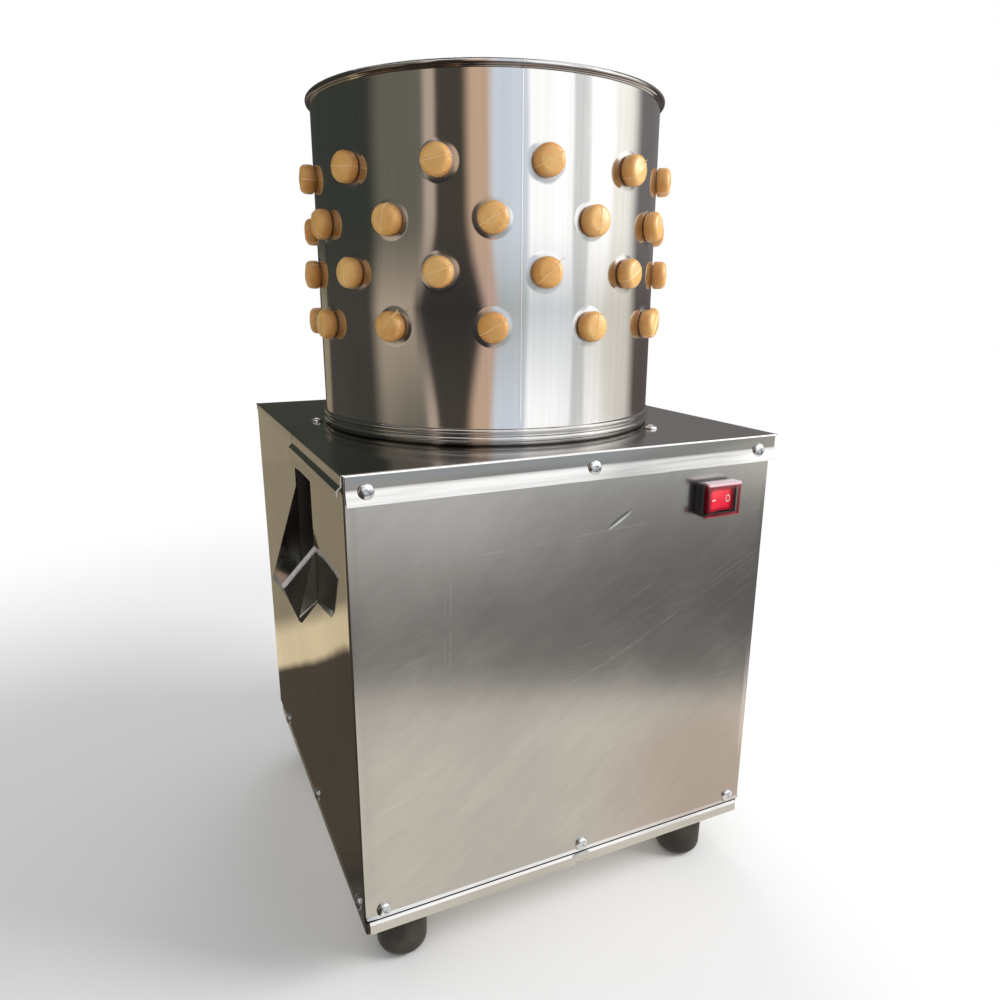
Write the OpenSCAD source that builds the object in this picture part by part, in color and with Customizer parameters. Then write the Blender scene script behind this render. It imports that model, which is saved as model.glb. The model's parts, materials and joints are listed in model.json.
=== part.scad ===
// Poultry plucker: a finger-lined drum on a square cabinet, with a belt-driven turntable inside.
// Origin on the floor under the drum axis. +Z is up, the switch faces -Y, the chute leaves at -X.

/* [Cabinet] */
// Width of the cabinet, left to right
body_w = 370; // [360:1:400]
// Depth of the cabinet, front to back
body_d = 373; // [366:1:400]
// Height from the base to the underside of the lid
body_h = 370; // [364:1:400]
// How far the cabinet's middle lies left of the drum axis
body_shift = 2; // [1:0.5:4]
// Thickness of the wrap, rear panel and lid sheet
sheet = 1; // [0.8:0.1:1.2]
// Outer bend radius of the wrap's front corners
wrap_bend = 2.5; // [2:0.1:3]
// Thickness of the base pan
pan_t = 1.5; // [1.2:0.1:2]
// Height of the base pan's upturned edge
pan_edge = 32; // [30:1:36]
// Width of the base strip that shows under the wrap
strip_h = 16; // [12:1:18]

/* [Lid] */
// Depth of the lid's flange
lid_flange = 22; // [20:1:24]
// Depth of the left flange behind its notch
lid_short_flange = 6; // [5:0.5:10]
// Distance of the left flange's notch in front of the drum axis
lid_notch_y = 16; // [10:1:22]
// Gap between the right wall and the lid's right flange
lid_overhang = 4; // [3:0.5:8]
// Gap left open at the lid's corners
lid_corner_gap = 1.5; // [1:0.1:3]

/* [Drum] */
// Outside radius of the drum
drum_r = 150; // [149:0.5:151]
// Wall of the drum
drum_wall = 1.2; // [1:0.1:1.5]
// Height of the rim above the lid
drum_rise = 271.5; // [268:0.5:290]
// Depth of the drum's skirt below the lid's top
skirt_drop = 21; // [19:0.5:22]
// Radius of the rolled rim
rim_r = 2.5; // [2.2:0.1:3]
// Radius of each ridge of the foot bead
bead_r = 2.3; // [2:0.1:2.6]
// Height of the lower ridge above the lid
bead_z = 5.5; // [5:0.1:7]
// Distance between the two ridges
bead_pitch = 6; // [5:0.1:8]
// Clearance between the drum and the lid's hole
drum_fit = 0.4; // [0.2:0.1:0.6]

/* [Fingers] */
// Fingers in one row of the drum
row_count = 12; // [10:1:12]
// Height of the lowest row above the lid
row_first = 90; // [88:0.5:96]
// Distance between rows
row_pitch = 39; // [38:0.5:42]
// Angle of the first finger, from the front
row_turn = -22; // [-24:0.5:-20]
// Radius of a finger's head
head_r = 11.5; // [11:0.1:12]
// Thickness of a finger's head
head_t = 11; // [9.5:0.5:12]
// Radius of the holes that hold the fingers
finger_hole_r = 9.2; // [8.8:0.1:9.5]
// Length of a finger from the face under its head to its tip
finger_len = 75; // [60:1:78]
// Radius of a finger's body at its root
finger_root_r = 8.7; // [8.2:0.1:9]
// Radius of a finger's body at its tip
finger_tip_r = 6.5; // [5.5:0.1:7.5]
// Ribs along a finger
rib_count = 6; // [4:1:8]

/* [Turntable] */
// Radius of the turntable
table_r = 142; // [138:0.5:144]
// Thickness of the turntable
table_t = 5; // [4:0.5:6]
// Depth of the turntable's top below the lid's top
table_drop = 2; // [1:0.5:4]
// Radius of the outer ring of fingers
outer_ring_r = 112; // [108:1:116]
// Radius of the inner ring of fingers
inner_ring_r = 66; // [64:1:70]
// Fingers in the outer ring
outer_ring_count = 12; // [8:1:14]
// Fingers in the inner ring
inner_ring_count = 6; // [4:1:7]
// Radius of the hub's flange
hub_r = 44; // [43:0.5:48]
// Thickness of the hub's flange
hub_t = 8; // [7:0.5:9]

/* [Spindle] */
// Radius of the main shaft
shaft_r = 12.5; // [12:0.5:13]
// Radius of the shaft's threaded top
thread_r = 10; // [9:0.5:11]
// Outer radius of a bearing
bearing_r = 26; // [25.5:0.5:27]
// Width of a bearing
bearing_w = 15; // [14:0.5:16]
// Radius of a bearing's balls
ball_r = 3.97; // [3.8:0.01:4.1]
// Balls in one bearing
ball_count = 9; // [7:1:10]
// Outer radius of the bearing housing's tube
housing_r = 36; // [34:0.5:36]
// Length of the hub's boss above the bearing housing
hub_boss_len = 9; // [8:0.5:12]
// Radius of the housing's foot
housing_foot_r = 58; // [57:0.5:59]
// Thickness of the housing's foot
housing_foot_t = 10; // [8:0.5:12]

/* [Drive] */
// Belt radius on the driven pulley
driven_r = 98; // [94:0.5:98]
// Belt radius on the motor pulley
driver_r = 24.5; // [23.5:0.5:24.5]
// Width of the belt at its back
belt_w = 10; // [9.5:0.1:10.5]
// Thickness of the belt
belt_t = 6; // [5.5:0.1:6.5]
// Width of both pulleys
pulley_w = 20; // [18:0.5:21]
// Distance between the axes of the two pulleys
drive_span = 141.42; // [138:0.01:144]
// Distance of the motor's axis from the cabinet's right side
motor_inset = 83; // [81:0.5:87]
// Outer radius of the motor's frame
motor_r = 62; // [58:0.5:64]
// Gap between the motor's fan cowl and the base pan
motor_clear = 21.5; // [16:0.5:30]
// Radius of the motor's shaft
motor_shaft_r = 7; // [6.5:0.5:8]
// Radius of the rotor
rotor_r = 32; // [30:0.5:34]

/* [Feather path] */
// Radius of the feather pan
feather_r = 170; // [166:0.5:171]
// Slope of the pan's floor, in degrees
feather_slope = 15; // [14:0.5:16]
// Height of the chute's floor at the cabinet wall, below the lid's top
chute_drop = 129; // [126:0.5:130]
// Width of the chute
chute_w = 66; // [60:1:72]
// Distance of the chute's front wall in front of the drum axis
chute_front = 80; // [76:1:84]
// How far the spout's front wall reaches out
spout_reach = 28; // [24:0.5:30]
// How far the spout's floor reaches out
spout_floor = 16; // [13:0.5:18]

/* [Frame] */
// Leg of the angle bars
angle_leg = 25; // [24:0.5:26]
// Thickness of the angle bars
angle_t = 3; // [2.5:0.5:4]
// Height of the top rails
top_rail_h = 24; // [22:0.5:25]
// Depth of the cross beam's underside below the lid's top
beam_drop = 136; // [134:0.5:138]
// Thickness of the cross beam
beam_t = 6; // [5:0.5:7]
// Half the width of the cross beam
beam_half = 65; // [64:0.5:68]
// Height of a rubber foot
foot_h = 45; // [40:1:50]
// Radius of a rubber foot
foot_r = 21.5; // [19:0.5:23]
// Inset of the left feet from the cabinet's side
foot_inset_left = 38.5; // [36:0.5:42]
// Inset of the right feet from the cabinet's side
foot_inset_right = 46; // [43:0.5:49]
// Inset of the feet from the cabinet's front and back
foot_inset_y = 31.5; // [28:0.5:40]

/* [Switch] */
// Distance of the switch's middle from the cabinet's right side
switch_inset = 60; // [57:1:65]
// Depth of the switch's middle below the lid's top
switch_drop = 48.5; // [46:0.5:54]
// Width of the switch's frame
switch_w = 36; // [34:0.5:38]
// Height of the switch's frame
switch_h = 28; // [26:0.5:30]
// How far the switch's frame stands proud of the wall
switch_proud = 9; // [8:0.5:10]
// Tilt of the rocker at rest, in degrees
rocker_tilt = 6; // [4:0.5:7]

/* [Fasteners] */
// Shank radius of the cabinet screws
screw_r = 2.4; // [2:0.1:2.5]
// Head radius of the cabinet screws
screw_head_r = 5.8; // [5:0.1:6]
// Depth of the lid screws below the lid's top
lid_screw_drop = 12.5; // [11:0.5:14]
// Distance of the outer front and rear screws from the cabinet's sides
screw_inset = 15.5; // [13:0.5:18]
// Place of the middle front and rear screws, right of the drum axis
screw_mid = 6.5; // [0:0.5:10]
// Height of the base screws above the base
base_screw_h = 22; // [21.5:0.5:24]
// Distance of the first side screw from the cabinet's front
side_screw_first = 15.5; // [13:0.5:18]
// Distance between side screws
side_screw_pitch = 150; // [140:1:155]
// Distance from the drum axis to the lid-top screws
lid_top_screw_r = 160; // [159:0.5:162]
// Clearance round a screw or bolt
hole_fit = 0.2; // [0.15:0.05:0.3]
// Clearance of a pressed or keyed fit
seat_fit = 0.03; // [0.02:0.01:0.05]
// Clearance of a running fit
run_fit = 0.06; // [0.03:0.01:0.09]
// Clearance between parts that move past each other
move_gap = 0.4; // [0.35:0.05:0.6]

/* [Hidden] */
$fn = 96;
far = 1000;
skin = 1;
cut_len = 40;

// Cabinet faces
base_z = foot_h;
lid_under = base_z + body_h;
lid_top = lid_under + sheet;
left_x = -body_w / 2 - body_shift;
right_x = body_w / 2 - body_shift;
front_y = -body_d / 2;
rear_y = body_d / 2;
wrap_z = base_z + strip_h;
in_left = left_x + sheet + pan_t;
in_right = right_x - sheet - pan_t;
in_front = front_y + sheet + pan_t;
in_rear = rear_y - sheet - pan_t;
lid_left = left_x - sheet;
lid_right = right_x + lid_overhang + sheet;
lid_front = front_y - sheet;
lid_rear = rear_y + sheet;

// Drum and fingers
rim_z = lid_top + drum_rise;
skirt_z = lid_top - skirt_drop;
drum_in = drum_r - drum_wall;
row_rows = 4;
row_angle = 360 / row_count;
touch_gap = 0.1;
wall_sag = drum_in - sqrt(drum_in * drum_in - head_r * head_r);
drum_grip = drum_wall + wall_sag + 2 * touch_gap;
table_grip = table_t + 2 * touch_gap;
neck_fit = 0.3;
neck_r = finger_hole_r - neck_fit;
collar_t = 4;
rib_rise = 1;
head_round = 4.5;
tip_round = 3;
edge_cut = 1;

// Turntable and spindle stack
table_z = lid_top - table_drop - table_t;
inner_ring_turn = 15;
hub_z = table_z - hub_t;
beam_z = lid_top - beam_drop;
housing_z = beam_z + beam_t;
housing_top = hub_z - hub_boss_len;
housing_h = housing_top - housing_z;
upper_bearing_z = housing_top - bearing_w;
race_mid_r = (shaft_r + bearing_r) / 2;
ring_gap = 2.05;
ring_in_r = race_mid_r - ring_gap;
ring_out_r = race_mid_r + ring_gap;
race_fit = 0.08;
race_r = ball_r + race_fit;
shield_t = 1;
bore_step = 3;
shoulder_h = 2.5;
shoulder_r = shaft_r + shoulder_h;
boss_inset = 0.7;
hub_boss_r = ring_in_r - boss_inset;
slinger_t = 2.5;
collar_gap = 1.5;
pan_collar_r = housing_r + collar_gap;
slinger_r = pan_collar_r + skin + 1;
slinger_drop = 8;
slinger_low = housing_top - slinger_drop;
pan_collar_rise = 3;
pan_collar_top = housing_top + pan_collar_rise;
washer_r = 25;
washer_t = 3;
nut_t = 16;
nut_flat_r = 17.3;
thread_proud = 3;
shaft_top = table_z + table_t + washer_t + nut_t + thread_proud;
hub_bolt_ring = 34;
hub_bolt_r = 4;
bolt_count = 4;
bolt_turn = 45;
bolt_head_r = 6.5;
bolt_head_t = 5;
hub_bolt_short = 1;
key_w = 6;
key_sunk = 3.5;
key_proud = 2.8;
key_inset = 2;

// Belt drive
pulley_gap = 3;
pulley_z = beam_z - pulley_gap - pulley_w;
pulley_top = pulley_z + pulley_w;
belt_mid = pulley_z + pulley_w / 2;
belt_taper = 0.18;
rim_over = 4;
groove_fit = 0.4;
motor_x = right_x - motor_inset;
motor_y = sqrt(drive_span * drive_span - motor_x * motor_x);
drive_turn = atan2(motor_y, motor_x);
wrap_angle = acos((driven_r - driver_r) / drive_span);
belt_run = sqrt(drive_span * drive_span - pow(driven_r - driver_r, 2));
driven_hub_r = 24;
rim_depth = 14;
web_hole_count = 5;
web_hole_r = 20;
web_t = 8;
end_bolt_r = 5;
end_bolt_depth = 25;
end_bolt_head_r = 18;
end_bolt_head_t = 5;
end_bolt_hex_r = 9;
end_bolt_hex_t = 7;

// Motor stack between its plate and the base pan
motor_plate_t = 5;
motor_plate_z = beam_z - angle_leg - motor_plate_t;
bell_t = 12;
spigot = 4;
bell_boss_r = 20;
fan_t = 16;
fan_gap = 4;
fan_room = 10;
cowl_low = base_z + pan_t + motor_clear;
fan_z = cowl_low + fan_room;
bell_low = fan_z + fan_t + fan_gap;
frame_low = bell_low + bell_t;
frame_top = motor_plate_z - bell_t;
motor_len = frame_top - frame_low;
frame_wall = 6;
winding_room = 20;
stator_r = motor_r - frame_wall;
stator_len = motor_len - 2 * winding_room;
stator_z = frame_low + winding_room;
air_gap = 0.4;
fan_hub_r = 16;
fan_back_t = 3;
blade_count = 8;
blade_t = 3;
fan_side_gap = 10;
fan_r = motor_r - fan_side_gap;
cowl_t = 1.2;
cowl_lap = 6;
grille_pitch = 10;
grille_slot = 6;
shaft_proud_low = 2;
shaft_proud_top = 1;
motor_shaft_low = fan_z - shaft_proud_low;
motor_shaft_top = pulley_top + shaft_proud_top;
motor_bolt_ring = 44;
motor_bolt_r = 3;
motor_bolt_head_r = 5;
motor_bolt_head_t = 4;
motor_bolt_short = 1;
fin_count = 24;
fin_h = 4;
fin_t = 3;
fin_inset = 8;
terminal_w = 66;
terminal_d = 30;
terminal_h = 60;
terminal_y = motor_y - motor_r - fin_h - terminal_d;
terminal_z = frame_low + (motor_len - terminal_h) / 2;
capacitor_r = 19;
capacitor_h = 82;
capacitor_cap = 4;

// Feather path
chute_z = lid_top - chute_drop;
chute_rear = chute_w - chute_front;
chute_rail_gap = 3;
chute_top = lid_under - top_rail_h - chute_rail_gap;
pan_flange = 5;
spout_t = 1.2;
spout_high = 48;
spout_fall = 1.04;
floor_stretch = 1.35;
spout_floor_drop = 14;
spout_rear_high = 83;
spout_rear_reach = 25.5;
spout_rear_drop = 2;
hem_w = 6;
hem_t = 2.4;

// Brackets under the lid
bracket_turns = [165, 58, -49];
bracket_w = 24;
bracket_t = 2;
bracket_leg = 16;
rivet_r = 2;
rivet_head_r = 3.6;
rivet_head_t = 2;
rivet_up = 8;
rivet_z = skirt_z + rivet_up;

// Fasteners
screw_head_t = 3.4;
recess_w = 1;
recess_l = 5;
recess_d = 1.2;
screw_places = [left_x + screw_inset, screw_mid, right_x - screw_inset];
lid_screw_z = lid_top - lid_screw_drop;
base_screw_z = base_z + base_screw_h;
screw_end = 3;
lid_screw_len = 2 * sheet + pan_t + angle_t + screw_end;
base_screw_len = sheet + pan_t + angle_t + screw_end;
housing_bolt_ring = 48;
housing_bolt_r = 4;
housing_bolt_proud = 2;
foot_bolt_r = 4;
foot_bolt_head_r = 8;
foot_bolt_head_t = 5;
foot_bolt_len = 22;
foot_round = 9;
foot_taper = 2;
foot_shoulder = 8;

// Switch
switch_x = right_x - switch_inset;
switch_z = lid_top - switch_drop;
switch_deep = 22;
switch_wall = 2.5;
bay_w = switch_w - 2 * switch_wall;
bay_h = switch_h - 2 * switch_wall;
box_wall = 1;
box_w = bay_w + 2 * box_wall;
box_h = bay_h + 2 * box_wall;
tab_len = 8;
tab_x = 8;
tab_w = 6;
tab_t = 0.8;
ledge = 2;
rocker_gap = 1;
rocker_w = bay_w - 2 * rocker_gap;
rocker_h = bay_h - 2 * rocker_gap;
rocker_deep = 5;
rocker_y = front_y - switch_proud + rocker_deep;
rocker_edge = 7;
rocker_dish = 2;
rocker_back = 2.5;
rocker_heel = 6;
rocker_side = 1;
rocker_pin_r = 1.6;
rocker_pin_len = rocker_gap + 1.2;
boot_t = 0.8;
boot_rise = 6;

// Rear panel
vent_w = 70;
vent_h = 4;
vent_pitch = 12;
vent_rows = 8;
vent_x = 85;
vent_base = 85;
vent_z = base_z + vent_base;
gland_inset = 67;
gland_base = 50;
gland_x = left_x + gland_inset;
gland_z = base_z + gland_base;
gland_thread_r = 8;
gland_bore_r = 4;
gland_hex_r = 12;
gland_hex_t = 6;
gland_in = 12;
gland_out = 12;
gland_cap_r = 11;
gland_cap_t = 14;
gland_nut_t = 5;

// Switch lead
wire_r = 2.5;
lead_stub = 4;
wire_sides = 8;
lead_steps = 14;
lead_sweep = 90;

steel = "silver";
polished = "gainsboro";
amber = "burlywood";
black = "dimgray";

// Box between two corners
module block(low, high) {
    translate(low)
        cube(high - low);
}

// Tube standing on z
module tube(r_out, r_in, z, h) {
    translate([0, 0, z])
        difference() {
            cylinder(r = r_out, h = h);
            translate([0, 0, -skin])
                cylinder(r = r_in, h = h + 2 * skin);
        }
}

// Solid between two heights
module post(r, z, h) {
    translate([0, 0, z])
        cylinder(r = r, h = h);
}

// Copies round the drum axis
module ring(count, r, turn = 0) {
    for (i = [0 : count - 1])
        rotate([0, 0, turn + i * 360 / count])
            translate([r, 0, 0])
                children();
}

// Pan-head screw: head above z = 0, shank below
module pan_screw(r, head_r, head_t, len) {
    difference() {
        union() {
            cylinder(r = head_r, h = head_t * 0.45);
            intersection() {
                cylinder(r = head_r, h = head_t);
                dome_r = (head_r * head_r + head_t * head_t * 0.3025) / (head_t * 1.1);
                translate([0, 0, head_t - dome_r])
                    sphere(r = dome_r);
            }
            translate([0, 0, -len])
                cylinder(r = r, h = len + skin / 2);
        }
        for (turn = [0, 90])
            rotate([0, 0, turn])
                translate([-recess_l / 2, -recess_w / 2, head_t - recess_d])
                    cube([recess_l, recess_w, head_t]);
    }
}

// Bolt with a six-sided head above z = 0
module hex_bolt(r, head_r, head_t, len) {
    cylinder(r = head_r, h = head_t, $fn = 6);
    translate([0, 0, -len])
        cylinder(r = r, h = len + skin / 2);
}

// Places of the lid's flange screws, heads outwards
module at_lid_screws() {
    for (x = screw_places) {
        translate([x, lid_front, lid_screw_z])
            rotate([90, 0, 0])
                children();
        translate([x, lid_rear, lid_screw_z])
            rotate([-90, 0, 0])
                children();
    }
}

// Places of the base screws, heads outwards
module at_base_screws() {
    for (x = screw_places) {
        translate([x, front_y, base_screw_z])
            rotate([90, 0, 0])
                children();
        translate([x, rear_y, base_screw_z])
            rotate([-90, 0, 0])
                children();
    }
    for (i = [0 : 2]) {
        side_y = front_y + side_screw_first + i * side_screw_pitch;
        translate([left_x, side_y, base_screw_z])
            rotate([0, -90, 0])
                children();
        translate([right_x, side_y, base_screw_z])
            rotate([0, 90, 0])
                children();
    }
}

module screw_hole(len) {
    translate([0, 0, -len - skin])
        cylinder(r = screw_r + hole_fit, h = len + 2 * skin);
}

module lid_screw_holes() {
    at_lid_screws()
        screw_hole(lid_screw_len);
}

module base_screw_holes() {
    at_base_screws()
        screw_hole(base_screw_len);
}

module at_feet() {
    for (x = [left_x + foot_inset_left, right_x - foot_inset_right])
        for (y = [front_y + foot_inset_y, rear_y - foot_inset_y])
            translate([x, y, base_z])
                children();
}

module at_brackets() {
    for (turn = bracket_turns)
        rotate([0, 0, turn])
            children();
}

// Plan of the wrap grown inwards by t from its outside
module wrap_plan(t) {
    r = wrap_bend - t;
    translate([left_x + t, front_y + wrap_bend])
        square([body_w - 2 * t, body_d]);
    translate([left_x + wrap_bend, front_y + t])
        square([body_w - 2 * wrap_bend, wrap_bend]);
    for (x = [left_x + wrap_bend, right_x - wrap_bend])
        translate([x, front_y + wrap_bend])
            circle(r = r);
}

module chute_opening() {
    block([left_x - skin, -chute_front + skin, chute_z], [left_x + 2 * sheet, chute_rear - skin, chute_top]);
}

module switch_opening() {
    block([switch_x - box_w / 2 - hole_fit, front_y - skin, switch_z - box_h / 2 - hole_fit],
        [switch_x + box_w / 2 + hole_fit, front_y + 2 * sheet, switch_z + box_h / 2 + hole_fit]);
}

// Folded front and sides
module body_wrap() {
    color(steel)
        difference() {
            translate([0, 0, wrap_z])
                linear_extrude(lid_under - wrap_z)
                    difference() {
                        wrap_plan(0);
                        wrap_plan(sheet);
                        translate([left_x - skin, rear_y - sheet])
                            square([body_w + 2 * skin, body_d]);
                    }
            chute_opening();
            switch_opening();
            lid_screw_holes();
            base_screw_holes();
        }
}

module gland_hole() {
    translate([gland_x, rear_y, gland_z])
        rotate([90, 0, 0])
            cylinder(r = gland_thread_r + hole_fit, h = far, center = true);
}

module rear_panel() {
    color(steel)
        difference() {
            block([left_x, rear_y - sheet, wrap_z], [right_x, rear_y, lid_under]);
            for (side = [-vent_x, vent_x])
                for (i = [0 : vent_rows - 1])
                    translate([side, rear_y, vent_z + i * vent_pitch])
                        cube([vent_w, 4 * sheet, vent_h], center = true);
            gland_hole();
            lid_screw_holes();
            base_screw_holes();
        }
}

module base_pan() {
    low_x = left_x + sheet;
    high_x = right_x - sheet;
    low_y = front_y + sheet;
    high_y = rear_y - sheet;
    relief = wrap_bend;
    top = base_z + pan_edge;
    color(steel)
        difference() {
            union() {
                block([low_x, low_y, base_z], [high_x, high_y, base_z + pan_t]);
                block([low_x + relief, low_y, base_z], [high_x - relief, low_y + pan_t, top]);
                block([low_x + relief, high_y - pan_t, base_z], [high_x - relief, high_y, top]);
                block([low_x, low_y + relief, base_z], [low_x + pan_t, high_y - relief, top]);
                block([high_x - pan_t, low_y + relief, base_z], [high_x, high_y - relief, top]);
            }
            base_screw_holes();
            at_feet()
                cylinder(r = foot_bolt_r + hole_fit, h = far, center = true);
        }
}

// Lid with its drum hole and folded flanges
module top_cover() {
    gap = lid_corner_gap + sheet;
    notch_y = -lid_notch_y;
    low = lid_top - lid_flange;
    color(polished)
        difference() {
            union() {
                block([lid_left, lid_front, lid_under], [lid_right, lid_rear, lid_top]);
                block([lid_left + gap, lid_front, low], [lid_right - gap, front_y, lid_top]);
                block([lid_left + gap, rear_y, low], [lid_right - gap, lid_rear, lid_top]);
                block([lid_right - sheet, lid_front + gap, low], [lid_right, lid_rear - gap, lid_top]);
                block([lid_left, lid_front + gap, low], [left_x, notch_y, lid_top]);
                block([lid_left, notch_y + gap, lid_top - lid_short_flange],
                    [left_x, lid_rear - gap, lid_top]);
            }
            post(drum_r + drum_fit, lid_under - skin, far);
            lid_screw_holes();
            at_brackets()
                translate([lid_top_screw_r, 0, 0])
                    cylinder(r = screw_r + hole_fit, h = far);
        }
}

// Four corner angles standing on the base pan
module frame_posts() {
    z = base_z + pan_t;
    color(black)
        difference() {
            for (sx = [-1, 1])
                for (sy = [-1, 1])
                    translate([sx < 0 ? in_left : in_right, sy < 0 ? in_front : in_rear, z])
                        mirror([sx > 0 ? 1 : 0, 0, 0])
                            mirror([0, sy > 0 ? 1 : 0, 0])
                                difference() {
                                    cube([angle_leg, angle_leg, lid_under - z]);
                                    translate([angle_t, angle_t, -skin])
                                        cube([angle_leg, angle_leg, far]);
                                }
            lid_screw_holes();
            base_screw_holes();
        }
}

// Flat bars between the posts under the lid
module top_rails() {
    z = lid_under - top_rail_h;
    x0 = in_left + angle_leg;
    x1 = in_right - angle_leg;
    y0 = in_front + angle_leg;
    y1 = in_rear - angle_leg;
    color(black)
        difference() {
            union() {
                block([x0, in_front, z], [x1, in_front + angle_t, lid_under]);
                block([x0, in_rear - angle_t, z], [x1, in_rear, lid_under]);
                block([in_left, y0, z], [in_left + angle_t, y1, lid_under]);
                block([in_right - angle_t, y0, z], [in_right, y1, lid_under]);
            }
            lid_screw_holes();
        }
}

// Angle bars between the posts at mid height, flat leg on top
module mid_rails() {
    z = beam_z - angle_leg;
    x0 = in_left + angle_leg;
    x1 = in_right - angle_leg;
    y0 = in_front + angle_leg;
    y1 = in_rear - angle_leg;
    flat = beam_z - angle_t;
    color(black) {
        block([x0, in_front, z], [x1, in_front + angle_t, beam_z]);
        block([x0, in_front, flat], [x1, in_front + angle_leg, beam_z]);
        block([x0, in_rear - angle_t, z], [x1, in_rear, beam_z]);
        block([x0, in_rear - angle_leg, flat], [x1, in_rear, beam_z]);
        block([in_left, y0, z], [in_left + angle_t, y1, beam_z]);
        block([in_left, y0, flat], [in_left + angle_leg, y1, beam_z]);
        block([in_right - angle_t, y0, z], [in_right, y1, beam_z]);
        block([in_right - angle_leg, y0, flat], [in_right, y1, beam_z]);
    }
}

// Channel from front to back that carries the bearing housing
module cross_beam() {
    web_h = 20;
    web = 4;
    color(black)
        difference() {
            union() {
                block([-beam_half, in_front, beam_z], [beam_half, in_rear, beam_z + beam_t]);
                block([-beam_half, in_front, beam_z], [web - beam_half, in_rear, beam_z + beam_t + web_h]);
                block([beam_half - web, in_front, beam_z], [beam_half, in_rear, beam_z + beam_t + web_h]);
            }
            post(bearing_r - bore_step, beam_z - skin, far);
            ring(bolt_count, housing_bolt_ring, bolt_turn)
                post(housing_bolt_r + hole_fit, beam_z - skin, far);
        }
}

// Domed rubber feet
module rubber_feet() {
    color("black")
        at_feet()
            difference() {
                rotate_extrude()
                    intersection() {
                        union() {
                            polygon([[0, 0], [foot_r - foot_taper, 0], [foot_r, -foot_shoulder],
                                [foot_r, foot_round - foot_h], [foot_r - foot_round, -foot_h], [0, -foot_h]]);
                            translate([foot_r - foot_round, foot_round - foot_h])
                                circle(r = foot_round);
                        }
                        translate([0, -foot_h])
                            square(foot_h);
                    }
                translate([0, 0, -foot_bolt_len])
                    cylinder(r = foot_bolt_r + seat_fit, h = far);
            }
}

module foot_bolts() {
    color(steel)
        at_feet()
            translate([0, 0, pan_t])
                hex_bolt(foot_bolt_r, foot_bolt_head_r, foot_bolt_head_t, foot_bolt_len);
}

module lid_screws() {
    color(polished)
        at_lid_screws()
            pan_screw(screw_r, screw_head_r, screw_head_t, lid_screw_len);
}

module base_screws() {
    color(polished)
        at_base_screws()
            pan_screw(screw_r, screw_head_r, screw_head_t, base_screw_len);
}

// Row number to height, and its half-pitch stagger
function row_z(row) = lid_top + row_first + row * row_pitch;
function row_start(row) = -90 + row_turn + (row % 2) * row_angle / 2;

module at_row(row) {
    ring(row_count, 0, row_start(row))
        translate([drum_r, 0, row_z(row)])
            rotate([0, -90, 0])
                children();
}

module drum() {
    bead_low = lid_top + bead_z;
    color(polished)
        difference() {
            rotate_extrude() {
                translate([drum_in, skirt_z])
                    square([drum_wall, rim_z - rim_r - skirt_z]);
                translate([drum_in + rim_r, rim_z - rim_r])
                    circle(r = rim_r);
                for (i = [0, 1])
                    intersection() {
                        translate([drum_r, bead_low + i * bead_pitch])
                            circle(r = bead_r);
                        translate([drum_in, bead_low - far / 2])
                            square([far, far]);
                    }
            }
            for (row = [0 : row_rows - 1])
                at_row(row)
                    cylinder(r = finger_hole_r, h = cut_len, center = true);
            at_brackets()
                translate([drum_r, 0, rivet_z])
                    rotate([0, 90, 0])
                        cylinder(r = rivet_r + hole_fit, h = cut_len, center = true);
        }
}

// Plucking finger: head below z = 0, tip at finger_len, gripping a wall of the given thickness
module finger(grip) {
    body_z = grip - touch_gap + collar_t;
    body_len = finger_len - body_z - tip_round;
    step = body_len / rib_count;
    slope = (finger_root_r - finger_tip_r) / body_len;
    function side(z) = finger_root_r - slope * z;
    ribs = [for (i = [0 : rib_count - 1]) each [
        [side(i * step), body_z + i * step],
        [side(i * step) + rib_rise, body_z + (i + 0.35) * step],
        [side(i * step) + rib_rise, body_z + (i + 0.65) * step],
        [side((i + 1) * step), body_z + (i + 1) * step]]];
    rotate_extrude() {
        polygon(concat([[0, -touch_gap - head_t], [head_r - head_round, -touch_gap - head_t],
            [head_r, -touch_gap - head_t + head_round], [head_r, -touch_gap - edge_cut],
            [head_r - edge_cut, -touch_gap], [neck_r, -touch_gap], [neck_r, grip - touch_gap],
            [head_r - edge_cut, grip - touch_gap], [head_r - 2 * edge_cut, body_z]], ribs,
            [[finger_tip_r - tip_round, finger_len], [0, finger_len]]));
        translate([head_r - head_round, -touch_gap - head_t + head_round])
            circle(r = head_round);
        translate([finger_tip_r - tip_round, finger_len - tip_round])
            circle(r = tip_round);
    }
}

module finger_row(row) {
    color(amber)
        at_row(row)
            finger(drum_grip);
}

module finger_row_1() finger_row(0);
module finger_row_2() finger_row(1);
module finger_row_3() finger_row(2);
module finger_row_4() finger_row(3);

// Angle pieces under the lid that hold the drum's skirt
module drum_brackets() {
    r = drum_r + touch_gap;
    color(steel)
        at_brackets()
            difference() {
                union() {
                    block([r, -bracket_w / 2, skirt_z], [r + bracket_t, bracket_w / 2, lid_under]);
                    block([r, -bracket_w / 2, lid_under - bracket_t],
                        [r + bracket_leg, bracket_w / 2, lid_under]);
                }
                translate([lid_top_screw_r, 0, 0])
                    cylinder(r = screw_r + hole_fit, h = far);
                translate([drum_r, 0, rivet_z])
                    rotate([0, 90, 0])
                        cylinder(r = rivet_r + hole_fit, h = cut_len, center = true);
            }
}

module bracket_screws() {
    color(polished)
        at_brackets()
            translate([lid_top_screw_r, 0, lid_top])
                pan_screw(screw_r, screw_head_r, screw_head_t, sheet + bracket_t + 2 * skin);
}

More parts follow.
